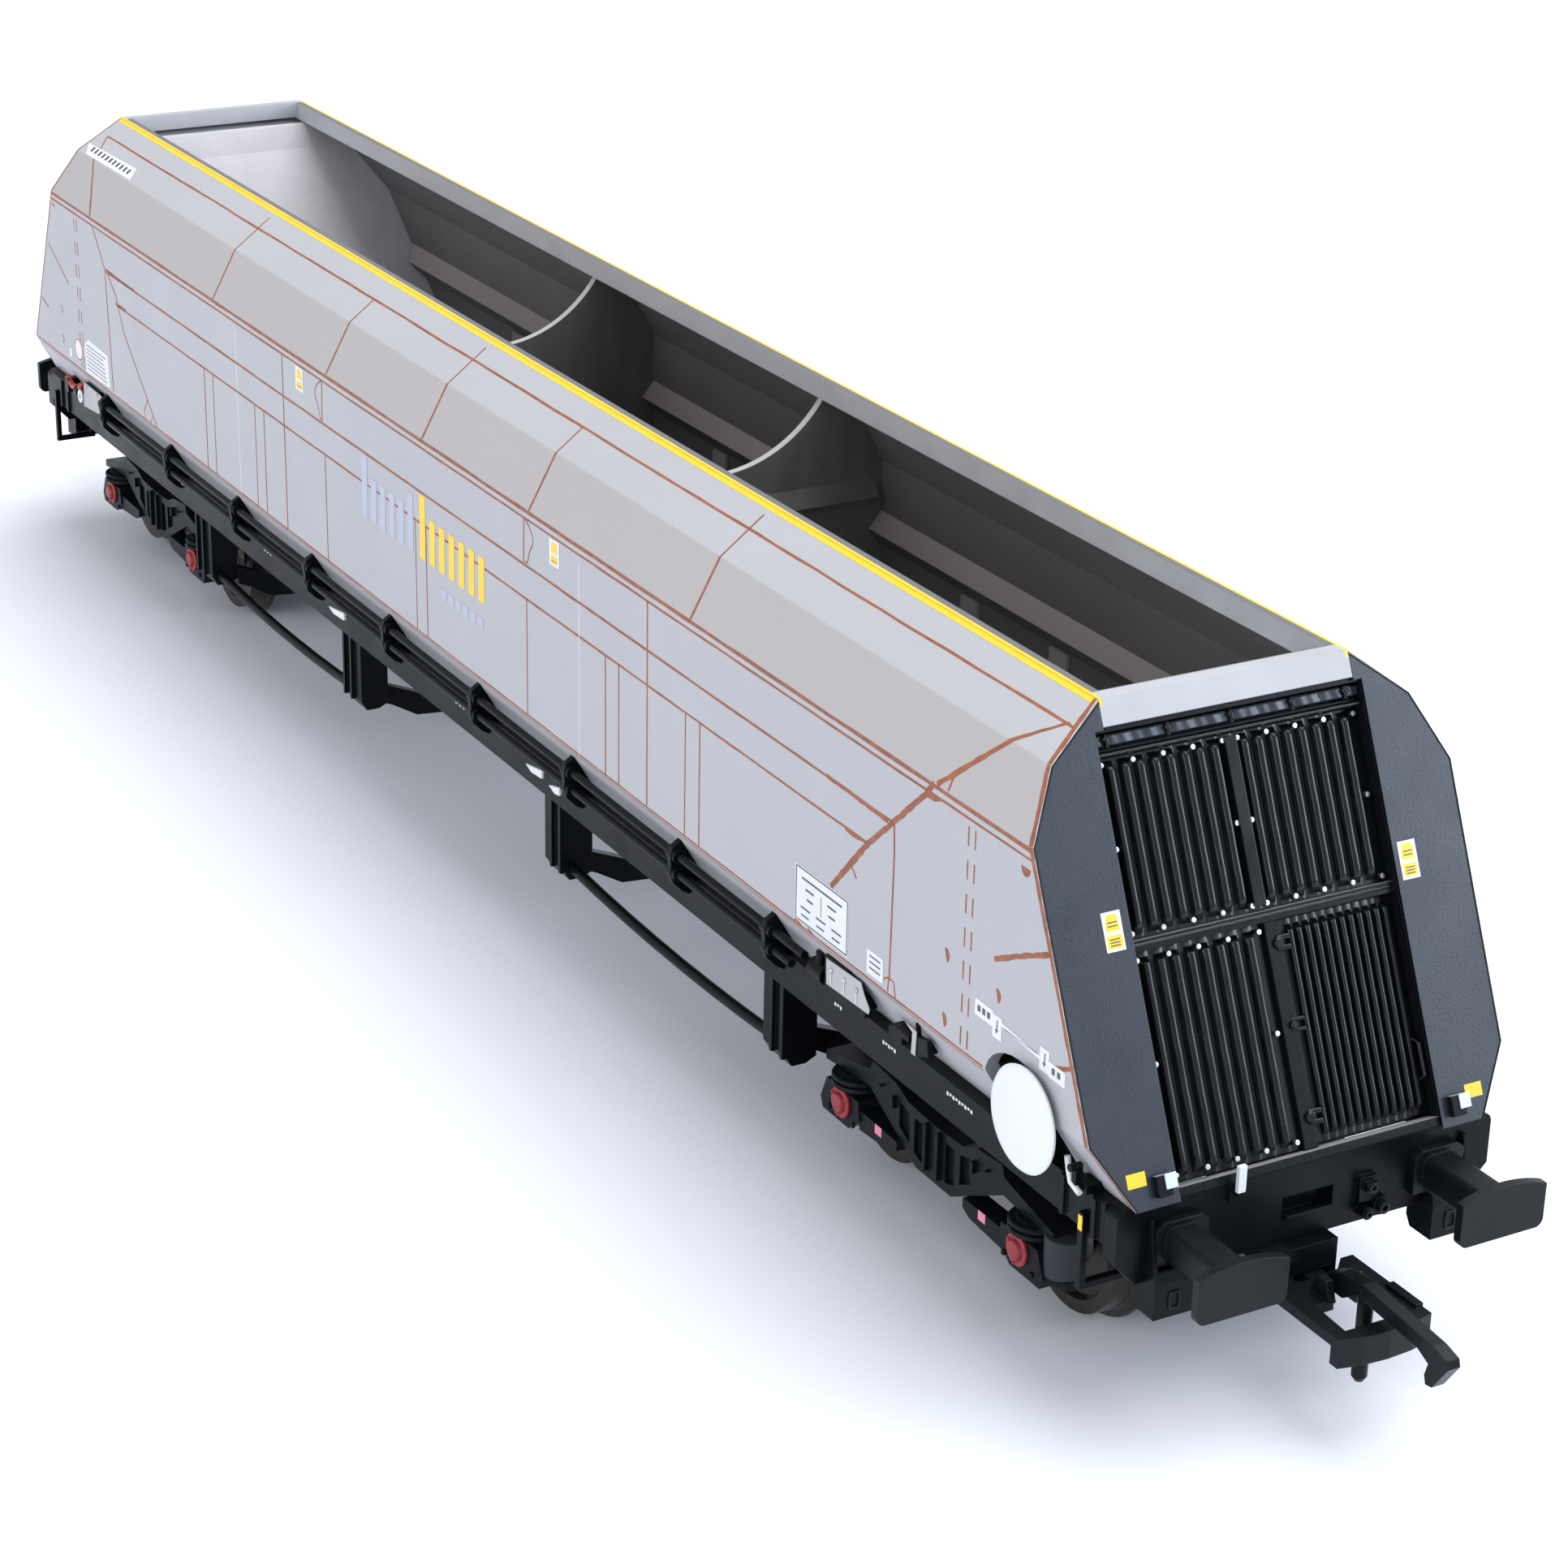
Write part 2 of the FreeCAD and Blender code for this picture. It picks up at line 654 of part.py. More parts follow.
def pivot_screws():
    """Screws up through the bogie transoms into the bolsters."""
    def screw():
        x = d.bogie_x
        return fuse([cylinder("z", (x, 0.0, 8.05), d.pivot_radius, 8.0),
                     cylinder("z", (x, 0.0, 7.05), 2.5, 1.0)])
    return group([screw(), half_turn(screw())])


def cross_frame(x, inward):
    """Flanged hanger on each side and the beam that joins them under the chutes."""
    low, top, half = 7.4, d.solebar_low, d.leg_half
    parts = []
    for side in (1, -1):
        leg = [(side * y, z) for y, z in (
            (16.2, top), (16.2, 8.4), (15.6, low), (14.3, low), (13.3, 7.9), (13.3, top))]
        parts.append(prism("YZ", leg, x - half, x + half))
        across = sorted((side * 16.15, side * 16.55))
        for ridge in (x - 0.05, x + half - 0.2):
            parts.append(box((ridge - 0.2, ridge + 0.2), across, (8.2, top)))
    middle = x - inward
    beam = [(-13.4, 9.4), (-13.4, 7.4), (-12.2, 6.9), (-9.6, 5.4), (-7.0, 5.2), (7.0, 5.2),
            (9.6, 5.4), (12.2, 6.9), (13.4, 7.4), (13.4, 9.4), (9.0, 7.6), (-9.0, 7.6)]
    parts.append(prism("YZ", beam, middle - 0.6, middle + 0.6))
    return fuse(parts)


def brake_pipes():
    """Low level pipes, gently bowed, between the hangers on each side."""
    left, right = d.frame_inner + d.leg_half, d.frame_outer - d.leg_half
    level, sag = 8.5, 0.6

    def bowed(side):
        body = new_body("pipe")
        path = add_sketch(body, "XZ", -side)
        middle = (left + right) * 0.5
        arc = Part.ArcOfCircle(Vector(left.value, level, 0), Vector(middle.value, level - sag, 0),
                               Vector(right.value, level, 0))
        index = path.addGeometry(arc, False)
        fix_point(path, index, 1, (left, level))
        fix_point(path, index, 2, (right, level))
        path.addConstraint(Sketcher.Constraint("Radius", index, arc.Radius))
        profile = add_sketch(body, "YZ", left)
        draw_circle(profile, (side, level), d.pipe_radius)
        pipe = body.newObject("PartDesign::AdditivePipe", "sweep")
        pipe.Profile = profile
        pipe.Spine = (path, ["Edge1"])
        return body

    sides = (-d.pipe_side, d.pipe_side)
    return group([bowed(side) for side in sides] + [half_turn(bowed(side)) for side in sides])


def buffers():
    """Pair of buffers at one end: base flange, square sleeve and a head with a curved top."""
    made = []
    for side in (-1, 1):
        y = side * d.buffer_side
        face = d.headstock_face
        flange = prism("YZ", [(y - 2.25, 13.4), (y + 2.25, 13.4), (y + 2.25, 16.4), (y + 1.6, 16.9),
                              (y - 1.6, 16.9), (y - 2.25, 16.4)], face, face + 0.7)
        sleeve = new_body("sleeve")
        tube = pad(sleeve, "YZ", [(y - 1.45, 13.5), (y + 1.45, 13.5), (y + 1.45, 16.4),
                                  (y - 1.45, 16.4)], face + 0.6, d.buffer_face - 0.7)
        fillet_edges(sleeve, tube, 0.7, lambda e, m: abs(m.x - 117.9) < 1.5)
        half = d.buffer_head_half
        plate = new_body("head")
        slab = pad(plate, "YZ", [(y - half, d.buffer_low), (y + half, d.buffer_low),
                                 (y + half, d.buffer_crown), (y - half, d.buffer_crown)],
                   d.buffer_face - 0.75, d.buffer_face)
        fillet_edges(plate, slab, 0.7, lambda e, m: abs(m.z - 13.05) < 0.01 and abs(m.x - 121.6) < 0.1)
        crown = cylinder("x", (d.buffer_face - 2.0, y, d.buffer_crown - 11.6), 11.6, 4.0)
        made.append(fuse([flange, sleeve, common([plate, crown])]))
    return group(made)


def steps():
    """Hanging step blocks under the headstock and the wire stirrups beside the bogie."""
    made = []
    for side in (-1, 1):
        profile = [(112.4, 13.0), (113.7, 13.0), (113.7, 17.2), (114.3, 17.2), (115.3, 12.4),
                   (115.3, 9.6), (112.9, 9.6), (112.4, 10.4)]
        low, high = sorted((side * 10.7, side * 14.1))
        block = prism("XZ", profile, low, high)
        inner, outer = sorted((side * 11.2, side * 13.6))
        well = box((112.8, 114.85), (inner, outer), (11.4, 18.0))
        beam = box((112.0, d.headstock_face), (low - 0.1, high + 0.1), (d.beam_low, 18.4))
        near, far = sorted((side * 10.6, side * 13.8))
        buffer_base = box((113.0, 116.0), (near, far), (13.35, 18.4))
        made.append(cut(block, [well, beam, buffer_base]))
        face = d.solebar_half
        stirrup = [(face, 16.6), (face + 0.5, 16.6), (face + 0.5, 10.4), (12.6, 10.4), (12.6, 15.5),
                   (14.0, 15.5), (14.0, 15.0), (13.1, 15.0), (13.1, 10.9), (face, 10.9)]
        made.append(prism("YZ", [(side * y, z) for y, z in stirrup], 109.8, 110.4))
    return group(made)


def control_gear():
    """Door controls on one side: panel, air cylinder, valve box, lever box and handle."""
    pieces = []
    panel = prism("XZ", [(74.7, 19.0), (80.8, 19.0), (81.1, 19.6), (80.4, 20.7), (78.2, 21.9),
                         (74.7, 21.9)], -17.9, -17.4)
    pieces.append(fuse([panel, box((75.4, 79.6), (-17.45, -16.0), (18.9, 20.0))]))
    valve = [cylinder("x", (72.2, -17.3, 19.7), 0.85, 2.1),
             box((72.3, 73.9), (-17.4, -15.9), (18.5, 19.8)),
             cylinder("z", (73.2, -17.4, 19.5), 0.4, 1.9)]
    pieces.append(fuse(valve))
    pieces.append(fuse([box((84.5, 86.4), (-17.9, -16.0), (19.2, 20.2)),
                        box((85.0, 87.4), (-17.9, -17.5), (19.9, 20.4))]))
    pieces.append(fuse([box((88.3, 88.9), (-17.7, -16.2), (19.3, 20.3)),
                        prism("XZ", [(88.3, 19.3), (90.2, 19.9), (90.0, 21.2), (88.6, 21.0),
                                     (88.3, 22.0)], -17.9, -17.5)]))
    pieces.append(box((-97.3, -92.6), (-17.9, -16.0), (18.3, 21.2)))
    pieces.append(fuse([cylinder("x", (-104.5, -17.2, 19.2), 0.3, 7.0),
                        cylinder("x", (-101.0, -17.2, 19.2), 0.75, 1.0),
                        box((-104.6, -103.4), (-17.7, -16.2), (18.3, 19.9))]))
    pieces.append(fuse([box((109.0, 110.6), (-17.2, -15.9), (d.foot_level, 19.0)),
                        box((109.4, 109.9), (-17.7, -17.1), (18.3, 20.4)),
                        cylinder("y", (109.65, -18.1, 20.2), 0.3, 1.0)]))
    return group([cut(piece, [inside_fold()]) for piece in pieces])


def hand_wheel():
    """Brake hand wheel: a dished rim with spokes on a short spindle."""
    x, z, radius = d.hand_wheel_x, d.hand_wheel_z, d.hand_wheel_radius
    body = new_body("hand_wheel")
    pad(body, "XZ", [], -19.35, -18.75, circles=[((x, z), radius)])
    windows = []
    for sx, sz in ((1, 1), (1, -1), (-1, 1), (-1, -1)):
        windows.append([(x + sx * 0.45, z + sz * 1.1), (x + sx * 1.1, z + sz * 0.45),
                        (x + sx * 2.9, z + sz * 0.45), (x + sx * 2.2, z + sz * 2.2),
                        (x + sx * 0.45, z + sz * 2.9)])
    pocket(body, "XZ", windows, -19.35, -19.15)
    spindle = cylinder("y", (x, -19.6, z), 0.6, 3.3)
    return fuse([body, spindle])


# ---------------------------------------------------------------- bogies and wheels

def bogie_frame():
    """Bogie moulding: two side frames with axleboxes, springs and arms, and the transom."""
    x, base, level = d.bogie_x, d.half_base, d.axle_level
    inner, outer = d.side_inner, d.side_outer
    web = [(0.0, 10.9), (4.0, 11.1), (6.0, 11.9), (9.5, 12.2), (9.9, 11.3), (16.8, 9.9),
           (16.8, 9.1), (9.9, 9.8), (2.6, 6.0)]
    web = [(x + u, z) for u, z in web] + [(x - u, z) for u, z in reversed(web) if u > 0]
    parts = []
    for side in (-1, 1):
        low, high = sorted((side * inner, side * outer), key=num)
        frame = new_body("side_frame")
        pad(frame, "XZ", web, low, high)
        face_in, face_out = sorted((side * (outer - 0.45), side * (outer + 0.5)), key=num)
        windows = []
        for s in (1, -1):
            windows.append([(x + s * 1.6, 10.2), (x + s * 3.0, 10.2), (x + s * 3.0, 7.2),
                            (x + s * 2.0, 6.8), (x + s * 1.6, 6.8)])
            windows.append([(x + s * 3.7, 10.2), (x + s * 5.3, 10.6), (x + s * 5.3, 8.4),
                            (x + s * 3.7, 7.6)])
        pocket(frame, "XZ", windows, face_in, face_out)
        parts.append(frame)
        for s in (1, -1):
            c = x + s * base
            box_outline = [(c - s * 2.7, 6.4), (c - s * 1.1, 5.1), (c + s * 3.0, 5.1),
                           (c + s * 3.4, 6.0), (c + s * 2.5, 8.1), (c - s * 2.5, 8.1)]
            out = sorted((side * inner, side * (outer + 0.6)), key=num)
            parts.append(prism("XZ", box_outline, out[0], out[1]))
            arm = [(c - s * 2.5, 5.6), (c - s * 2.5, 7.3), (c - s * 8.2, 7.2), (c - s * 8.2, 6.4),
                   (c - s * 7.2, 5.9)]
            out = sorted((side * (inner + 0.9), side * (outer + 0.4)), key=num)
            parts.append(prism("XZ", arm, out[0], out[1]))
            spring_y = side * (inner + 1.35)
            parts.append(cylinder("z", (c, spring_y, 7.9), 1.6, 1.5))
            parts.append(cylinder("z", (c, spring_y, 8.4), 2.25, 0.35))
            parts.append(cylinder("z", (c, spring_y, 9.0), 2.25, 0.35))
    parts.append(box((x + 15.2, x + 18.1), (-13.6, -11.9), (5.5, 6.3)))
    parts.append(cylinder("z", (x + 16.6, -12.9, 5.9), 1.45, 3.6))
    transom = box((x - 4.2, x + 4.2), (-(inner + 0.2), inner + 0.2), (8.3, 10.6))
    pad_boss = cylinder("z", (x, 0.0, 8.3), 3.6, 3.5)
    holes = [cylinder("z", (x, 0.0, 5.0), d.pivot_radius + d.pivot_gap, 9.0),
             cylinder("z", (x, 0.0, 5.0), 2.8, 3.45)]
    for s in (1, -1):
        c = x + s * base
        holes.append(cylinder("y", (c, -(d.axle_tip + 0.2), level), d.axle_radius + 0.15,
                              2 * (d.axle_tip + 0.2)))
    return cut(fuse(parts + [transom, pad_boss]), holes)


def axle_covers():
    """Round covers with a raised centre on the four axlebox faces."""
    made = []
    for side in (-1, 1):
        for s in (1, -1):
            c = d.bogie_x + s * d.half_base
            face = side * (d.side_outer + 0.6)
            low, high = sorted((face, face + side * 0.35), key=num)
            disc = cylinder("y", (c, low, d.axle_level), 1.35, 0.35)
            low, high = sorted((face + side * 0.3, face + side * 0.65), key=num)
            hub = cylinder("y", (c, low, d.axle_level), 0.8, 0.35)
            made.append(fuse([disc, hub]))
    return group(made)


def axle(x):
    """Axle with a cone at each end that runs in the side frame."""
    straight, tip = d.side_inner - 0.4, d.axle_tip
    middle = cylinder("y", (x, -straight, d.axle_level), d.axle_radius, 2 * straight)
    right = cone("y", (x, straight, d.axle_level), d.axle_radius, 0.18, tip - straight)
    left = cone("y", (x, -tip, d.axle_level), 0.18, d.axle_radius, tip - straight)
    return fuse([middle, right, left])


def wheels(x):
    """Two wheels of one axle, each turned from its profile about the axle line."""
    made = []
    for side in (-1, 1):
        body = new_body("wheel")
        sketch = add_sketch(body, "YZ", x)
        back, face = d.wheel_back, d.wheel_back + d.wheel_width
        lift = d.axle_level
        profile = [(back, d.axle_radius), (back, 2.1), (back + 0.7, 2.5), (back + 0.7, 4.7),
                   (back, 5.1), (back, d.flange_radius - 0.25), (back + 0.25, d.flange_radius),
                   (back + 0.5, d.flange_radius - 0.1),
                   (back + d.flange_width, d.tread_radius + 0.15),
                   (back + d.flange_width + 0.25, d.tread_radius), (face, d.tread_radius - 0.08),
                   (face, 5.1), (face - 0.55, 4.7), (face - 0.55, 2.4), (face, 2.0),
                   (face, d.axle_radius)]
        draw_polygon(sketch, [(side * y, lift + r) for y, r in profile])
        line = sketch.addGeometry(Part.LineSegment(Vector(-20, num(lift), 0),
                                                   Vector(20, num(lift), 0)), True)
        fix_point(sketch, line, 1, (-20.0, lift))
        fix_point(sketch, line, 2, (20.0, lift))
        turned = body.newObject("PartDesign::Revolution", "turned")
        turned.Profile = sketch
        turned.ReferenceAxis = (sketch, ["Axis0"])
        turned.Angle = 360.0
        made.append(body)
    return group(made)


# ---------------------------------------------------------------- couplings

def draft_box():
    """Pocket under the headstock that carries the coupling on its pivot pin."""
    x = d.coupler_pin
    shell = box((x - 1.8, x + 2.6), (-2.1, 2.1), (8.1, d.beam_low))
    hollow = box((x - 1.2, x + 3.0), (-1.75, 1.75), (8.8, 9.95))
    pin = cylinder("z", (x, 0.0, 8.5), 0.45, 2.0)
    return fuse([cut(shell, [hollow]), pin])


def coupler_bar():
    """Coupling loop: a tongue, a wide plate with a window, and the curved buffing bar."""
    x, face = d.coupler_pin, d.coupler_face
    low, high = 8.95, 9.8
    outline = [(x - 0.9, -0.8), (x + 3.4, -0.8), (x + 3.4, -1.6), (x + 2.0, -3.0), (x + 2.0, -4.1),
               (face - 0.6, -4.1), (face - 0.15, -2.2), (face, 0.0), (face - 0.15, 2.2),
               (face - 0.6, 4.1), (x + 2.0, 4.1), (x + 2.0, 3.0), (x + 3.4, 1.6), (x + 3.4, 0.8),
               (x - 0.9, 0.8)]
    body = new_body("coupler_bar")
    pad(body, "XY", outline, low, high)
    window = [(119.1, -2.7), (122.9, -2.9), (122.9, 2.9), (119.1, 2.7)]
    slot = [(117.2, -1.0), (119.3, -1.0), (119.3, 1.0), (117.2, 1.0)]
    pocket(body, "XY", [window], low, high)
    pocket(body, "XY", [slot], low, high)
    bar = prism("XY", [(122.9, -4.1), (face - 0.6, -4.1), (face - 0.15, -2.2), (face, 0.0),
                       (face - 0.15, 2.2), (face - 0.6, 4.1), (122.9, 4.1)], 7.5, high)
    ears = [prism("XZ", [(117.0, high - 0.1), (119.4, high - 0.1), (118.8, 11.3), (117.8, 11.3)],
                  y - 0.3, y + 0.3) for y in (-1.35, 1.35)]
    rail = box((119.4, 122.8), (3.4, 4.1), (high - 0.05, high + 0.3))
    pin = cylinder("y", (d.hook_pin_x, -1.65, d.hook_pin_z), 0.3, 3.3)
    holes = [cylinder("z", (x, 0.0, 8.0), 0.52, 3.0)]
    return fuse([cut(fuse([body, bar] + ears + [rail]), holes), pin])


def coupler_hook():
    """Lifting hook on its pivot, with the dropper that raises it."""
    px, pz = d.hook_pin_x, d.hook_pin_z
    outline = [(117.6, 9.95), (119.4, 9.95), (121.0, 11.0), (127.9, 10.5), (129.2, 9.9),
               (128.9, 8.9), (129.1, 8.2), (129.8, 8.3), (131.3, 10.5), (131.1, 11.1),
               (129.6, 11.5), (121.5, 12.2), (119.0, 11.9), (117.6, 11.2)]
    arm = prism("XZ", outline, -0.55, 0.55)
    dropper = fuse([cylinder("z", (121.4, 0.0, 4.5), 0.6, 7.3),
                    cone("z", (121.4, 0.0, 4.1), 0.35, 0.6, 0.41)])
    bore = cylinder("y", (px, -2.0, pz), 0.36, 4.0)
    return cut(fuse([arm, dropper]), [bore])


# ---------------------------------------------------------------- the wagon

SIDES, ENDS = ("left", "right"), ("a", "b")

pair("side_sheet_", SIDES, side_sheet)
node("top_coaming", top_coaming())
pair("end_frame_", ENDS, end_frame)
pair("upper_panel_", ENDS, upper_panel)
pair("lower_panel_", ENDS, lower_panel)
pair("equipment_door_", ENDS, equipment_door)
node("end_bolts", end_bolts())
pair("slope_sheet_", ENDS, slope_sheet)
pair("partition_", ENDS, partition)
bay_face = d.partition_thick * 0.5
middle_bay = d.bay_half - bay_face
end_bay = (d.bay_half + bay_face, d.slope_foot + 0.8)
node("chute_1", chute(*end_bay))
node("chute_2", chute(-middle_bay, middle_bay))
node("chute_3", half_turn(chute(*end_bay)))
pair("solebar_", SIDES, solebar)
pair("operating_rods_", SIDES, operating_rods)
pair("rod_brackets_", SIDES, rod_brackets)
pair("headstock_", ENDS, headstock)
pair("bolster_", ENDS, bolster)
node("pivot_screws", pivot_screws())
node("cross_frames_outer", group([cross_frame(d.frame_outer, 1.85),
                                  half_turn(cross_frame(d.frame_outer, 1.85))]))
node("cross_frames_inner", group([cross_frame(d.frame_inner, 0.0),
                                  half_turn(cross_frame(d.frame_inner, 0.0))]))
node("brake_pipes", brake_pipes())
pair("buffers_", ENDS, buffers)
pair("steps_", ENDS, steps)
pair("control_gear_", SIDES, control_gear)
pair("hand_wheel_", SIDES, hand_wheel)
pair("bogie_frame_", ENDS, bogie_frame)
pair("axle_covers_", ENDS, axle_covers)
for number, x in enumerate((d.bogie_x + d.half_base, d.bogie_x - d.half_base,
                            -d.bogie_x + d.half_base, -d.bogie_x - d.half_base), start=1):
    node("axle_%d" % number, axle(x))
    node("wheels_%d" % number, wheels(x))
pair("draft_box_", ENDS, draft_box)
pair("coupler_bar_", ENDS, coupler_bar)
pair("coupler_hook_", ENDS, coupler_hook)


# ---------------------------------------------------------------- check and export

doc.recompute()
for obj in doc.Objects:
    if "Invalid" in obj.State or "Error" in obj.State:
        raise RuntimeError("%s (%s) did not build: %s" % (obj.Name, obj.Label, obj.State))
os.makedirs("parts", exist_ok=True)
for obj in NODES:
    shape = obj.Shape
    if shape.isNull() or not shape.isValid() or not shape.Solids:
        raise RuntimeError("%s has no valid solid" % obj.Label)
    shape.exportStep(os.path.join("parts", obj.Label + ".step"))
    box_size = shape.BoundBox
    print("%-22s %3d solids %9.2f mm3  %.1f x %.1f x %.1f" % (
        obj.Label, len(shape.Solids), shape.Volume,
        box_size.XLength, box_size.YLength, box_size.ZLength))
print(len(NODES), "pieces")
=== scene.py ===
import json
import math
import random
from itertools import cycle

import bmesh
import bpy
from mathutils import Matrix, Vector


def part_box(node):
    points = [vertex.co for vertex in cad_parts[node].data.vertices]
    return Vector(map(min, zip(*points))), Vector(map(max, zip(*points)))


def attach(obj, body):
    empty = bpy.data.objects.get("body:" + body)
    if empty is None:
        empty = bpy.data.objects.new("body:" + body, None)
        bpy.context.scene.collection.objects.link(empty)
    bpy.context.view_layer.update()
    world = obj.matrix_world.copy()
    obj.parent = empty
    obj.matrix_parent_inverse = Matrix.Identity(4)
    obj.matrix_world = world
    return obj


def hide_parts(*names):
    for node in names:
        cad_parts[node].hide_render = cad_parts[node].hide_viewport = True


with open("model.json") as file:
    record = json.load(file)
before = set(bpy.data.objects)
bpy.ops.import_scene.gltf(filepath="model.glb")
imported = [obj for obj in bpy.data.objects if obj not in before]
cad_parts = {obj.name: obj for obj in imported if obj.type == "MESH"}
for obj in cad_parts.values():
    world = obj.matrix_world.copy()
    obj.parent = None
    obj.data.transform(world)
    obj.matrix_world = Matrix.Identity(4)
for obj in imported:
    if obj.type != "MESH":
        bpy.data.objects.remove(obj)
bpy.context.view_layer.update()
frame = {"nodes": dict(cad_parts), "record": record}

# Looks of the bogie coal hopper wagon. Lengths below are in millimetres in the wagon's own
# frame (+X to end "a", +Z up, z = 0 under the flanges) and are scaled to metres at the end.
# The wagon is the same after half a turn about Z, so most detail is built for end "a" or
# side "left" (-Y) and repeated by both().

MM = 0.001
random.seed(7)


# ---- the wagon's main shapes

COAMING = (10.95, 50.9)     # half width and height of each fold of the body side
UPPER = (15.7, 47.34)
WAIST = (18.36, 42.44)
SKIRT = (18.33, 23.0)
FOOT = (15.46, 18.24)
FOLDS = [COAMING, UPPER, WAIST, SKIRT, FOOT]
FACETS = [(top[1], low[1]) for top, low in zip(FOLDS, FOLDS[1:])]   # heights of each flat between folds
END_FOOT, END_RUN = 122.66, 0.4515      # X of the leaning end plane at z = 0, and its slope
END_OUT = Vector((0.9114, 0.0, 0.4115))  # outward normal of end "a"


def end_x(z):
    return END_FOOT - END_RUN * z


def on_side(x, z):
    """A point on the outside of the left body side, and the direction out of that facet."""
    (y0, z0), (y1, z1) = next((top, low) for top, low in zip(FOLDS, FOLDS[1:])
                              if z >= low[1] or low == FOOT)
    share = (z0 - z) / (z0 - z1)
    out = Vector((0.0, -(z0 - z1), y1 - y0)).normalized()
    return Vector((x, -(y0 + (y1 - y0) * share), z)), out


def on_end(y, z, depth):
    """A point on end "a", given its distance across, height and depth out of the end plane."""
    return Vector((end_x(z), y, z)) + END_OUT * depth


# ---- node helpers for materials

def feed(socket, value):
    """Gives an input a number, a direction, a colour or another node's output."""
    if isinstance(value, bpy.types.NodeSocket):
        socket.id_data.links.new(value, socket)
    else:
        socket.default_value = (*value, 1.0) if socket.type == "RGBA" else value


def add(near, kind, inputs, **settings):
    """A new node in the tree of another node or socket, with its inputs fed."""
    node = near.id_data.nodes.new("ShaderNode" + kind)
    for name, value in settings.items():
        setattr(node, name, value)
    for key, value in inputs.items():
        feed(node.inputs[key], value)
    return node


def new_material(name):
    """A material, its shader and object coordinates in millimetres."""
    material = bpy.data.materials.new(name)
    material.use_nodes = True
    shader = material.node_tree.nodes["Principled BSDF"]
    coords = add(shader, "TexCoord", {}).outputs["Object"]
    scale = add(shader, "VectorMath", {0: coords, "Scale": 1.0 / MM}, operation="SCALE")
    return material, shader, scale.outputs["Vector"]


def axes_of(vector):
    """The X, Y and Z of a vector."""
    return add(vector, "SeparateXYZ", {0: vector}).outputs


def normal_near(near):
    return add(near, "NewGeometry", {}).outputs["Normal"]


def noise(vector, size, detail=3.0, rough=0.5, stretch=None):
    """Noise whose features are about size millimetres across."""
    if stretch:
        vector = add(vector, "Mapping", {"Vector": vector, "Scale": stretch}).outputs["Vector"]
    inputs = {"Vector": vector, "Scale": 1.0 / size, "Detail": detail, "Roughness": rough}
    return add(vector, "TexNoise", inputs).outputs["Fac"]


def map_range(value, low, high, to_low, to_high):
    inputs = {"Value": value, "From Min": low, "From Max": high, "To Min": to_low, "To Max": to_high}
    return add(value, "MapRange", inputs).outputs["Result"]


def times(first, second):
    return add(first, "Math", {0: first, 1: second}, operation="MULTIPLY").outputs[0]


def absolute(value):
    return add(value, "Math", {0: value}, operation="ABSOLUTE").outputs[0]


def mix(factor, first, second):
    """A colour between two; each is a colour or a node's output."""
    return add(factor, "Mix", {0: factor, 6: first, 7: second}, data_type="RGBA").outputs[2]


def ramp(value, low, high):
    """0 to 1 as the value goes from low to high."""
    return map_range(value, low, high, 0.0, 1.0)


def blend(value, first, second, span=(0.3, 0.7), most=1.0):
    """The first colour, with up to a share of the second as the value crosses its span."""
    return mix(map_range(value, *span, 0.0, most), first, second)


def paint(shader, colour, uneven, roughness):
    """Connects the colour, and a roughness that wanders between two values with the noise."""
    feed(shader.inputs["Base Color"], colour)
    feed(shader.inputs["Roughness"], map_range(uneven, 0.3, 0.7, *roughness))


def rounded_normal(near, radius):
    """The surface's normal, with its sharp edges rounded to a radius."""
    return add(near, "Bevel", {"Radius": radius * MM}, samples=4).outputs["Normal"]


def edge_mask(rounded):
    """1 along sharp edges and 0 on flat faces, from how far rounding turns the normal."""
    dot = add(rounded, "VectorMath", {0: rounded, 1: normal_near(rounded)}, operation="DOT_PRODUCT")
    return ramp(dot.outputs["Value"], 0.97, 0.75)


def bump(shader, height, distance, strength, normal=None):
    node = add(shader, "Bump", {"Height": height, "Distance": distance * MM, "Strength": strength})
    if normal:
        feed(node.inputs["Normal"], normal)
    feed(shader.inputs["Normal"], node.outputs["Normal"])


def tint(colour, factor):
    return tuple(min(1.0, c * factor) for c in colour)


# ---- materials

BODY_GREY = (0.395, 0.400, 0.425)
STEEP_FACET_SHADE = (0.375, 0.345, 0.335)     # painted shade: the darker, warmer facet under the upper fold
INNER_GREY = (0.115, 0.112, 0.112)
LEDGE_GREY = (0.36, 0.315, 0.30)
RIM_GREY = (0.44, 0.43, 0.42)
SHADED_GREY = (0.12, 0.12, 0.13)
LAVENDER = (0.50, 0.49, 0.53)          # the pale end sheets of the hopper
# pale lining of the coaming's inward end faces, brightened as painted light against their shade
INWARD_LINING_PAINTED_LIGHT = (0.86, 0.86, 0.92)
RUST = (0.235, 0.075, 0.032)
SLATE = (0.012, 0.018, 0.032)
BLACK = (0.0030, 0.0042, 0.0056)


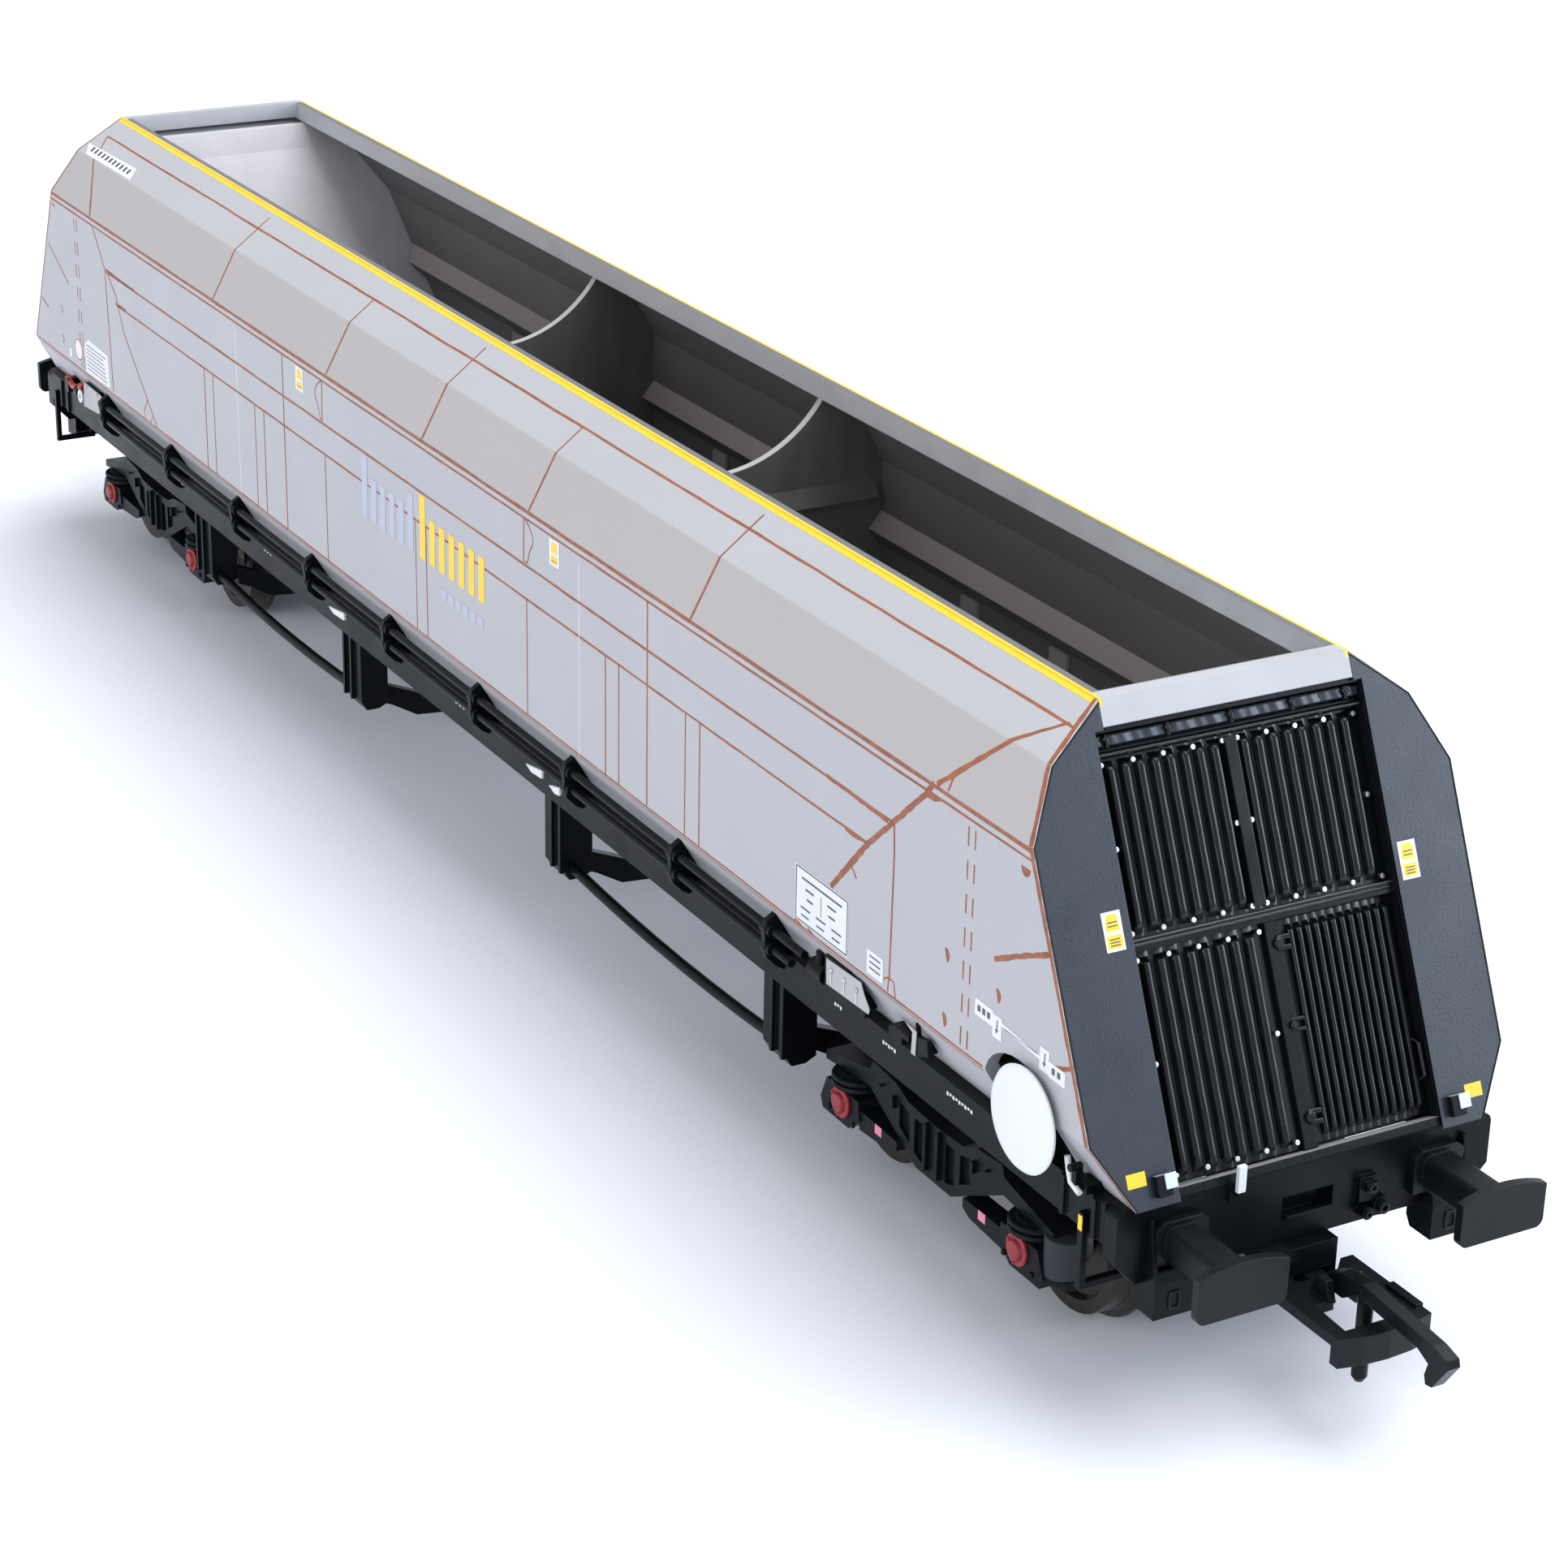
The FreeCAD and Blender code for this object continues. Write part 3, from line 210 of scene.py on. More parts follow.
def moulded(name, colour, roughness, edge, grain=0.22, grain_depth=0.02, specular=0.5, mottle=0.10):
    """Painted or moulded surface: mottled colour, fine grain, and rounded edges made lighter, partly by wear
    and partly as a painted highlight.
    """
    material, shader, where = new_material(name)
    fine = noise(where, grain, 3.0, 0.65)
    base = blend(noise(where, 18.0, 4.0, 0.6),
                 tint(colour, 1.0 - mottle), tint(colour, 1.0 + mottle * 0.6))
    base = blend(fine, base, tint(colour, 0.8), (0.35, 0.7), 0.16)
    rounded = rounded_normal(shader, 0.12)
    # edges lighten towards the edge colour: partly wear, partly a painted highlight
    wear_and_highlight = map_range(noise(where, 3.0), 0.35, 0.65, 0.25, 0.8)
    base = mix(times(edge_mask(rounded), wear_and_highlight), base, edge)
    paint(shader, base, noise(where, 5.0, 5.0), (roughness - 0.06, roughness + 0.07))
    shader.inputs["Specular IOR Level"].default_value = specular
    bump(shader, fine, grain_depth, 0.6, rounded)
    return material


def body_paint():
    """Light grey paint, with painted shade making the steep facet darker and warmer, and the dark lining of
    the hopper inside.
    """
    material, shader, where = new_material("body_paint")
    across, up = axes_of(where)[1:]
    facing = axes_of(normal_near(shader))
    base = blend(noise(where, 30.0, 4.0, 0.6), tint(BODY_GREY, 0.97), tint(BODY_GREY, 1.03))
    steep = times(ramp(up, WAIST[1] - 0.05, WAIST[1] + 0.05),
                  ramp(up, UPPER[1] + 0.05, UPPER[1] - 0.05))
    # painted shade: the steep facet under the upper fold is darkened and warmed
    base = mix(times(steep, 0.7), base, STEEP_FACET_SHADE)
    fine = noise(where, 0.3, 3.0, 0.7)
    base = blend(fine, base, tint(BODY_GREY, 0.75), (0.4, 0.75), 0.10)
    inner = blend(noise(where, 9.0, 5.0, 0.65, (0.25, 1.0, 1.0)),
                  INNER_GREY, tint(INNER_GREY, 1.35), (0.3, 0.75), 0.55)
    ledge = times(ramp(facing[2], 0.4, 0.6), ramp(up, 39.0, 38.0))
    inner = mix(ledge, inner, LEDGE_GREY)
    is_inner = ramp(times(facing[1], across), 0.5, -0.5)
    paint(shader, mix(is_inner, base, inner), noise(where, 6.0, 5.0), (0.42, 0.54))
    bump(shader, fine, 0.02, 0.5, rounded_normal(shader, 0.15))
    return material


def inward_of(along, facing):
    """1 on faces of either end that look towards the middle of the wagon."""
    return ramp(times(along, facing[0]), -20.0, -60.0)


def end_frame_paint():
    """Glossy black outside, and the pale lining of the hopper on the faces that look inward."""
    material, shader, where = new_material("end_frame")
    fine = noise(where, 0.4, 3.0, 0.6)
    black = mix(fine, (0.0035, 0.0042, 0.0055), (0.006, 0.007, 0.009))
    inward = inward_of(axes_of(where)[0], axes_of(normal_near(shader)))
    paint(shader, mix(inward, black, LAVENDER), fine, (0.26, 0.36))
    shader.inputs["Specular IOR Level"].default_value = 0.15
    bump(shader, fine, 0.006, 0.5, rounded_normal(shader, 0.12))
    return material


def coaming_paint():
    """Rim of the hopper: a yellow outer edge along the sides, painted shade on the flat top inside it, grey
    elsewhere, and pale lining brightened with painted light on the inward faces at the ends.
    """
    material, shader, where = new_material("coaming_paint")
    along, across, up = axes_of(where)
    facing = axes_of(normal_near(shader))
    on_top = ramp(up, 50.4, 50.6)
    on_strip = ramp(absolute(across), 10.66, 10.70)
    yellow = blend(noise(where, 4.0), (0.80, 0.50, 0.010), (0.90, 0.58, 0.014))
    grey = blend(noise(where, 6.0), tint(BODY_GREY, 0.92), tint(BODY_GREY, 1.06))
    # painted light: the inward end faces are brightened to offset their shade
    grey = mix(inward_of(along, facing), grey, INWARD_LINING_PAINTED_LIGHT)
    beside = ramp(absolute(along), 98.5, 98.4)
    flat = ramp(facing[2], 0.65, 0.75)
    # painted shade on the flat top inside the yellow strip
    grey = mix(times(times(beside, flat), on_top), grey, SHADED_GREY)
    paint(shader, mix(times(on_strip, on_top), grey, yellow),
          noise(where, 3.0), (0.36, 0.48))
    bump(shader, noise(where, 0.25), 0.02, 0.5, rounded_normal(shader, 0.12))
    return material


def hopper_lining(name, colour, rim):
    """Matt lining of the hopper with faint streaks down it and, where asked, a pale upper rim."""
    material, shader, where = new_material(name)
    streak = noise(where, 2.4, 5.0, 0.6, (1.0, 1.0, 0.18))
    spread = 0.16 if rim else 0.05
    base = blend(streak, tint(colour, 1 - spread), tint(colour, 1 + spread))
    fine = noise(where, 0.28, 3.0, 0.7)
    base = blend(fine, base, tint(colour, 0.6), (0.45, 0.75), 0.25)
    if rim:
        up, facing_up = axes_of(where)[2], axes_of(normal_near(shader))[2]
        is_rim = times(ramp(facing_up, 0.25, 0.35), ramp(up, 41.5, 42.0))
        base = mix(is_rim, base, RIM_GREY)
    paint(shader, base, streak, (0.55, 0.7))
    bump(shader, fine, 0.025, 0.6, rounded_normal(shader, 0.12))
    return material


def rust_stroke():
    """Hand-painted rust brown lines: a little uneven in tone."""
    material, shader, where = new_material("rust_stroke")
    uneven = noise(where, 1.4, 5.0, 0.7)
    paint(shader, blend(uneven, tint(RUST, 1.5), tint(RUST, 0.8), (0.25, 0.7)),
          uneven, (0.5, 0.65))
    bump(shader, uneven, 0.01, 0.5)
    return material


def printed(name, colour, roughness=0.42):
    """Thin printed label or patch, with the faint unevenness of ink."""
    material, shader, where = new_material(name)
    ink = noise(where, 0.5, 4.0, 0.6)
    paint(shader, blend(ink, tint(colour, 0.93), tint(colour, 1.03)),
          ink, (roughness - 0.05, roughness + 0.05))
    bump(shader, ink, 0.006, 0.4)
    return material


def turned_metal(name, colour, roughness):
    """Metal with fine rings from turning, darker where it isn't polished."""
    material, shader, where = new_material(name)
    rings = noise(where, 0.25, 4.0, 0.6, (1.0, 0.2, 1.0))
    patina = noise(where, 2.0, 5.0, 0.65)
    paint(shader, blend(patina, tint(colour, 0.7), tint(colour, 1.15)),
          rings, (roughness - 0.08, roughness + 0.08))
    shader.inputs["Metallic"].default_value = 1.0
    bump(shader, rings, 0.01, 0.5, rounded_normal(shader, 0.1))
    return material


MOULDED = (     # name, colour, roughness, colour of the edges (wear with a painted highlight), other settings
    ("end_slate", SLATE, 0.36, tint(SLATE, 2.6), {"grain_depth": 0.025}),
    # the bluish edge colour of panel_black is a painted highlight along the ribs
    ("panel_black", (0.0028, 0.0040, 0.0055), 0.20, (0.02, 0.024, 0.03),
     {"grain": 0.5, "grain_depth": 0.008, "specular": 0.36}),
    ("control_grey", (0.40, 0.40, 0.41), 0.4, (0.6, 0.6, 0.6), {}),
    ("frame_black", BLACK, 0.32, (0.022, 0.024, 0.028), {"specular": 0.11}),
    ("bogie_black", tint(BLACK, 1.5), 0.38, (0.028, 0.029, 0.033), {"specular": 0.12}),
    ("buffer_black", tint(BLACK, 1.4), 0.36, (0.035, 0.037, 0.042), {"specular": 0.19}),
    ("hook_steel", tint(BLACK, 1.5), 0.32, (0.045, 0.045, 0.047), {"specular": 0.16}),
    ("damper_grey", (0.030, 0.033, 0.040), 0.40, (0.08, 0.08, 0.09), {"specular": 0.2}),
    ("cover_red", (0.27, 0.018, 0.026), 0.36, (0.55, 0.10, 0.10), {}),
    ("pipe_red", (0.45, 0.03, 0.03), 0.38, (0.6, 0.1, 0.1), {}),
    ("wheel_white", (0.70, 0.725, 0.74), 0.42, (0.8, 0.81, 0.82), {"mottle": 0.02, "specular": 0.3}),
    ("lamp_lens", (0.60, 0.74, 0.84), 0.22, (0.85, 0.92, 0.95), {"mottle": 0.02}))
TURNED = (      # name, colour, roughness
    ("bolt_silver", (0.62, 0.64, 0.67), 0.28),
    ("wheel_metal", (0.075, 0.066, 0.058), 0.30),
    ("axle_steel", (0.42, 0.41, 0.40), 0.35),
    ("screw_steel", (0.50, 0.49, 0.48), 0.32))
PRINTED = (     # name, colour
    ("print_white", (0.68, 0.70, 0.73)),
    ("print_ink", (0.08, 0.08, 0.09)),
    ("print_yellow", (0.84, 0.56, 0.02)),
    ("print_blue", (0.40, 0.44, 0.55)),
    ("print_faint", (0.62, 0.62, 0.65)),
    ("print_pink", (0.72, 0.22, 0.36)))

PAINTS = {
    "body_grey": body_paint(),
    "yellow_edge": coaming_paint(),
    "slope": hopper_lining("slope_lining", LAVENDER, False),
    "post": hopper_lining("post_lining", (0.30, 0.29, 0.295), False),
    "inner_grey": hopper_lining("hopper_lining", INNER_GREY, True),
    "end_frame": end_frame_paint(),
    "rust": rust_stroke(),
}
PAINTS.update({row[0]: moulded(*row[:4], **row[4]) for row in MOULDED})
PAINTS.update({row[0]: turned_metal(*row) for row in TURNED})
PAINTS.update({row[0]: printed(*row) for row in PRINTED})


# ---- mesh helpers

class Shape:
    """Collects faces in millimetres, and becomes one piece in metres."""

    def __init__(self):
        self.bm = bmesh.new()

    def block(self, low, high):
        """An axis-aligned block between two corners."""
        self.hull_of([Vector((x, y, z)) for x in (low[0], high[0]) for y in (low[1], high[1])
                      for z in (low[2], high[2])])

    def hull_of(self, points):
        """The closed convex solid round some points."""
        verts = [self.bm.verts.new(p) for p in points]
        made = bmesh.ops.convex_hull(self.bm, input=verts)
        spare = [v for v in made["geom_interior"] + made["geom_unused"] if isinstance(v, bmesh.types.BMVert)]
        bmesh.ops.delete(self.bm, geom=spare, context="VERTS")

    def slab(self, outline, out, thickness):
        """A flat outline given a thickness along its normal: thin plates, labels and paint."""
        low = [Vector(p) for p in outline]
        high = [p + out * thickness for p in low]
        if (low[1] - low[0]).cross(low[2] - low[1]).dot(out) < 0:
            low.reverse()
            high.reverse()
        base = [self.bm.verts.new(p) for p in low]
        top = [self.bm.verts.new(p) for p in high]
        self.bm.faces.new(top)
        self.bm.faces.new(base[::-1])
        for i in range(len(base)):
            j = (i + 1) % len(base)
            self.bm.faces.new([base[i], base[j], top[j], top[i]])

    def ring(self, centre, side, other, radius, sides):
        """A circle of points round a centre, in the plane of two directions."""
        angles = [2 * math.pi * k / sides for k in range(sides)]
        return [self.bm.verts.new(centre + (side * math.cos(a) + other * math.sin(a)) * radius)
                for a in angles]

    def skin(self, rings):
        """Faces from each ring to the next, and a cap on each end that isn't a single point."""
        for first, second in zip(rings, rings[1:]):
            count = max(len(first), len(second))
            for k in range(count):
                n = (k + 1) % count
                corners = [first[k % len(first)], first[n % len(first)],
                           second[n % len(second)], second[k % len(second)]]
                unique = list(dict.fromkeys(corners))
                if len(unique) > 2:
                    self.bm.faces.new(unique)
        for cap in (rings[0][::-1], rings[-1]):
            if len(cap) > 2:
                self.bm.faces.new(cap)

    def tube(self, path, radius, sides=12):
        """A round bar along a path of points, with closed ends."""
        rings = []
        side = None
        for i, point in enumerate(path):
            ahead = (path[min(i + 1, len(path) - 1)] - path[max(i - 1, 0)]).normalized()
            side = (ahead.orthogonal() if side is None else side - ahead * side.dot(ahead)).normalized()
            rings.append(self.ring(point, side, ahead.cross(side), radius, sides))
        self.skin(rings)

    def turned(self, centre, axis, profile, sides=40):
        """A solid of revolution: profile is (distance along the axis, radius) from end to end."""
        axis = Vector(axis).normalized()
        side = axis.orthogonal().normalized()
        rings = []
        for along, radius in profile:
            middle = Vector(centre) + axis * along
            pointed = radius < 1e-6
            rings.append([self.bm.verts.new(middle)] if pointed
                         else self.ring(middle, side, axis.cross(side), radius, sides))
        self.skin(rings)

    def height_sheet(self, width, height, columns, rows, place):
        """A grid whose points come from place(across, up), for pressed or corrugated sheet."""
        grid = [[self.bm.verts.new(place(width[0] + (width[1] - width[0]) * i / columns,
                                         height[0] + (height[1] - height[0]) * j / rows))
                 for i in range(columns + 1)] for j in range(rows + 1)]
        for j in range(rows):
            for i in range(columns):
                self.bm.faces.new([grid[j][i], grid[j][i + 1], grid[j + 1][i + 1], grid[j + 1][i]])


    def piece(self, name, material, body="root", slot="", smooth=False, bevel=0.0, turn=False):
        """The object, in metres, riding its body; turn sets it half a turn round the wagon."""
        bmesh.ops.recalc_face_normals(self.bm, faces=self.bm.faces)
        if turn:
            self.bm.transform(Matrix.Rotation(math.pi, 4, "Z"))
        self.bm.transform(Matrix.Scale(MM, 4))
        mesh = bpy.data.meshes.new(name)
        self.bm.to_mesh(mesh)
        self.bm.free()
        for polygon in mesh.polygons:
            polygon.use_smooth = smooth
        if smooth:
            mesh.set_sharp_from_angle(angle=math.radians(35))
        obj = bpy.data.objects.new(name, mesh)
        bpy.context.scene.collection.objects.link(obj)
        obj.data.materials.append(PAINTS[material])
        if bevel:
            rounding = obj.modifiers.new("rounded_edges", "BEVEL")
            rounding.width = bevel * MM
            rounding.segments = 3
            rounding.limit_method = "ANGLE"
            rounding.angle_limit = math.radians(40)
            rounding.harden_normals = True
        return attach(obj, body)


SIDES, ENDS = ("_left", "_right"), ("_a", "_b")


def both(build, endings, material, name="", bodies=("root", "root"), replaces="", **options):
    """The same detail at one end or side and, turned by half a turn, at the other.

    The two pieces are named after the function that builds them, unless there is a name, and
    may stand for the CAD nodes of the same endings.
    """
    for ending, body, turn in zip(endings, bodies, (False, True)):
        shape = Shape()
        build(shape)
        piece = shape.piece((name or build.__name__) + ending, material, body, turn=turn, **options)
        if replaces:
            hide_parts(replaces + ending)


# ---- painted lines on the sides

PAINT_GAP = 0.002            # from the side sheet to the back of the paint
STROKE_LIFTS = cycle([0.012 + 0.0013 * k for k in (0, 5, 2, 7, 4, 1, 6, 3)])   # so that none are coplanar


def roughened(points, step=0.55):
    """More points along a stroke, with the uneven edges of paint laid on by hand."""
    finer = []
    for (x0, z0, w0), (x1, z1, w1) in zip(points, points[1:]):
        count = max(1, int(math.hypot(x1 - x0, z1 - z0) / step))
        for i in range(count):
            share = i / count
            drift = random.uniform(-0.05, 0.05) if finer else 0.0
            finer.append((x0 + (x1 - x0) * share, z0 + (z1 - z0) * share + drift,
                          (w0 + (w1 - w0) * share) * random.uniform(0.82, 1.18)))
    return finer + [points[-1]]


def stroke(shape, points, rough=False):
    """A ribbon of paint along points (x, z, width) that all lie on one facet of the left side."""
    if rough:
        points = roughened(points)
    out = on_side(*[sum(p[i] for p in points) / len(points) for i in (0, 1)])[1]
    lift = next(STROKE_LIFTS)
    centres = [on_side(*point[:2])[0] for point in points]
    rings = []
    for i, centre in enumerate(centres):
        ahead = (centres[min(i + 1, len(centres) - 1)] - centres[max(i - 1, 0)]).normalized()
        side = ahead.cross(out).normalized() * points[i][2] / 2
        corners = (centre - side, centre + side, centre + side + out * lift, centre - side + out * lift)
        rings.append([shape.bm.verts.new(corner + out * PAINT_GAP) for corner in corners])
    shape.skin(rings)


def line(shape, points, width=0.2):
    """A thin line through points (x, z) of one facet."""
    stroke(shape, [(x, z, width) for x, z in points])


def long_line(shape, low_x, high_x, z, width, steps=60):
    """A long level line, hand drawn: its width wanders a little."""
    stroke(shape, [(low_x + (high_x - low_x) * i / steps, z + random.uniform(-0.02, 0.02),
                    width * random.uniform(0.82, 1.18)) for i in range(steps + 1)])


def half_disc(shape, x, z, radius, turn):
    """A small half round spot of paint."""
    out = on_side(x, z)[1]
    angles = [math.radians(turn + 180 * i / 10) for i in range(11)]
    shape.slab([on_side(x + math.cos(a) * radius, z + math.sin(a) * radius * 1.15)[0] + out * PAINT_GAP
                for a in angles], out, 0.016)


SEAM = 49.3                  # height of the seam near the top
RIDGE, RIDGE_LOW = 42.2, 41.5   # the double line under the waist fold
RAIL, RAIL_LOW = 37.15, 34.05   # two lines along the side
BOTTOM = 23.05


def seams(shape):
    """Lines along and across the body side."""
    long_line(shape, -98.1, 100.1, SEAM, 0.22)
    long_line(shape, -103.4, 103.2, RIDGE, 0.34)
    long_line(shape, -103.6, 103.6, RIDGE_LOW, 0.2)
    long_line(shape, -85.9, 84.8, RAIL, 0.22)
    long_line(shape, -82.7, 81.4, RAIL_LOW, 0.2)
    long_line(shape, -111.3, 98.3, BOTTOM, 0.16)
    long_line(shape, -111.0, 98.0, BOTTOM - 0.5, 0.1)
    for x in (-52.7, 0.0, 52.7):
        line(shape, [(x, WAIST[1]), (x, UPPER[1])], 0.28)
        line(shape, [(x, UPPER[1]), (x, COAMING[1] - 0.6)], 0.2)
    for x in (-22.7, 22.7):
        line(shape, [(x, WAIST[1]), (x, UPPER[1])], 0.28)
        line(shape, [(x, UPPER[1]), (x, SEAM)], 0.2)


def uprights(shape):
    """Upright lines below the waist, in the groups of the door panels."""
    for x in (-34.0, 45.2):
        line(shape, [(x, RIDGE_LOW), (x, BOTTOM)])
    for x in (-56.2, -53.7, -42.0, -39.5, -23.5, -1.9, 0.5, 22.1, 37.5, 40.0, 52.0, 54.5):
        line(shape, [(x, RAIL_LOW), (x, BOTTOM)], 0.17)
    line(shape, [(-89.7, 41.4), (-86.3, 37.4), (-85.5, 23.4)])
    line(shape, [(-85.9, 37.4), (-83.0, 35.1), (-80.9, 31.3), (-71.6, 23.1)])
    line(shape, [(-74.4, 25.45), (-75.65, 23.8), (-75.2, 23.1)], 0.13)
    line(shape, [(-73.0, 23.95), (-73.6, 23.1)], 0.13)
    for side in (-1, 1):
        for x in (95.2, 96.1):
            for step in range(7):
                top = 40.9 - step * 2.66
                line(shape, [(side * x, top), (side * x, top - 1.5)], 0.16)
    # small three-pronged bracket under the near upright
    line(shape, [(84.2, 22.85), (84.3, 24.1), (84.9, 24.4), (85.7, 24.3), (85.95, 23.1)], 0.16)
    line(shape, [(84.9, 24.4), (84.83, 23.2)], 0.16)


def hose(shape, x, bulge):
    """Painted hose loop beside a short upright line, with its hook at the bottom."""
    line(shape, [(x, RIDGE_LOW), (x - 0.15, RAIL + 0.1)], 0.18)
    loop = [(x + bulge * math.sin(math.pi * i / 10) ** 0.8, RIDGE_LOW - 3.3 * i / 10, 0.15)
            for i in range(9)]
    last_x, last_z, width = loop[-1]
    hook = [(last_x - bulge * 0.1, last_z - 0.5, width), (last_x - bulge * 0.35, RAIL + 0.25, width),
            (x + bulge * 0.1, RAIL + 0.35, 0.2)]
    stroke(shape, loop + hook)


def weathered(shape):
    """Broad uneven strokes near the ends, where the slope sheet shows through."""
    for points in (
            [(90.7, WAIST[1], 0.52), (92.8, 44.4, 0.46), (96.0, UPPER[1], 0.44)],
            [(96.0, UPPER[1], 0.42), (97.1, 48.1, 0.36), (98.2, 48.75, 0.28), (99.3, SEAM + 0.1, 0.22)],
            [(90.3, WAIST[1] - 0.03, 0.5), (89.2, 41.1, 0.5), (84.9, 37.2, 0.5), (81.2, 33.9, 0.52),
             (76.0, 28.3, 0.5)],
            [(89.1, 41.15, 0.45), (90.4, 41.3, 0.5), (91.4, 41.45, 0.16)],
            [(75.0, 37.2, 0.3), (79.0, 37.1, 0.36), (84.1, 36.95, 0.3)],
            [(77.9, 33.9, 0.2), (79.2, 33.9, 0.42), (81.2, 34.0, 0.2)],
            [(-86.0, 37.3, 0.36), (-77.0, 37.2, 0.24)],
            [(-83.2, 34.2, 0.34), (-79.8, 34.2, 0.22)],
            [(-90.4, WAIST[1], 0.3), (-95.8, UPPER[1], 0.26)],
            [(-95.8, UPPER[1], 0.24), (-98.1, SEAM, 0.2)]):
        stroke(shape, points, rough=True)
    for points, width in (([(92.0, 43.6), (92.2, 42.5)], 0.2), ([(79.05, 31.2), (79.8, 30.5)], 0.18),
                          ([(-91.3, 43.4), (-90.4, WAIST[1])], 0.14),
                          ([(85.0, 37.1), (85.15, 34.6), (85.0, 24.2)], 0.22)):
        line(shape, points, width)


def rust_marks(shape):
    """Short strokes and small rust spots near the leaning end edge."""
    for points in ([(99.25, 32.15, 0.46), (102.6, 33.8, 0.42), (106.2, 35.45, 0.4)],
                   [(107.6, 27.25, 0.3), (109.7, 28.1, 0.36)]):
        stroke(shape, points, rough=True)
    for points in ([(-105.5, 35.75, 0.16), (-99.2, 32.5, 0.18)],
                   [(-109.1, 28.4, 0.16), (-107.0, 27.8, 0.16)],
                   [(-103.5, 40.9, 0.16), (-102.5, 40.8, 0.2)]):
        stroke(shape, points)
    half_disc(shape, 102.7, 40.7, 0.6, 180)
    for x, z in ((92.8, 29.7), (99.8, 29.45), (92.75, 24.4)):
        half_disc(shape, x, z, 0.5, -70)
    for z in (28.7, 25.2):
        line(shape, [(-102.4, z + 0.4), (-101.9, z), (-102.3, z - 0.45)], 0.18)
    line(shape, [(70.5, 23.2), (70.9, 23.35), (71.6, 23.1)])
    line(shape, [(72.6, 23.35), (73.4, 23.1)])


def end_edging(shape):
    """Brown edge round the end profile, broader at end "a"."""
    for side, width, inset in ((1, 0.46, 0.32), (-1, 0.2, 0.16)):
        for top, low in FACETS:
            points = [(side * (end_x(z) - inset), z, width) for z in (top - 0.02, low + 0.02)]
            stroke(shape, points, rough=True)


def painted_edge_highlight(shape):
    """Fine pale line along the very edge of the end profile: a painted highlight where the edge catches the
    light.
    """
    for top, low in FACETS:
        stroke(shape, [(end_x(z) - 0.06, z, 0.07) for z in (top - 0.02, low + 0.02)], rough=True)


def faint_lines(shape):
    for x in (-46.7, 32.5):
        line(shape, [(x, RAIL_LOW + 6.5), (x, BOTTOM)], 0.14)


def drawn_lines(shape):
    seams(shape)
    uprights(shape)
    hose(shape, -23.8, -1.8)
    hose(shape, 21.7, 1.8)
    weathered(shape)
    rust_marks(shape)
    end_edging(shape)


# ---- printed labels on the sides

PATCH = 0.012                # thickness of a label, and of a mark printed on it
LABEL_LIFT, INK_LIFT, TOP_INK_LIFT = 0.03, 0.045, 0.055      # their fronts, out of the side
STICKERS = ((-30.5, -28.6), (26.8, 28.7))
PLATE_X, PLATE_Z = (70.75, 78.65), (23.55, 28.05)            # border of the largest label
RING_X, RING_Z = -96.85, 25.3


def side_shape(shape, corners, lift=LABEL_LIFT):
    """A flat patch between corners (x, z) of one facet of the left side."""
    out = on_side(*corners[0])[1]
    shape.slab([on_side(x, z)[0] + out * (lift - PATCH) for x, z in corners], out, PATCH)


def side_patch(shape, x, z, lift=LABEL_LIFT):
    """A rectangular patch between two X and two heights."""
    side_shape(shape, [(x[0], z[0]), (x[1], z[0]), (x[1], z[1]), (x[0], z[1])], lift)


def side_labels(shape):
    for sticker in STICKERS:
        side_patch(shape, sticker, (38.9, 41.3))
    for x, z in (((70.6, 78.8), (23.4, 28.2)), ((81.7, 84.1), (23.5, 25.5))):
        side_patch(shape, x, z)
    side_shape(shape, [(-94.5, 23.3), (-86.4, 23.5), (-86.8, 27.2), (-93.2, 27.4), (-94.6, 26.6)])
    side_patch(shape, (-100.1, -99.3), (23.7, 24.7))
    side_shape(shape, [(-98.6, 47.42), (-84.5, 47.5), (-85.6, 48.4), (-100.4, 48.2)])
    for x, z in (((97.0, 99.4), (26.8, 28.1)), ((99.4, 100.6), (26.1, 27.9))):
        side_patch(shape, x, z)
    side_shape(shape, [(100.6, 27.35), (105.6, 27.0), (105.6, 27.3), (100.6, 27.65)])
    for x, z in (((105.6, 106.8), (26.3, 28.1)), ((106.8, 108.9), (26.2, 27.4))):
        side_patch(shape, x, z)


def side_label_marks(shape):
    """Two plain yellow patches on each small sticker."""
    for low, high in STICKERS:
        side_shape(shape, [(low + 0.3, 40.1), (high - 0.3, 40.1), (high - 0.45, 41.05),
                           (low + 0.45, 41.05)], INK_LIFT)
        side_patch(shape, (low + 0.3, high - 0.3), (39.1, 39.8), INK_LIFT)


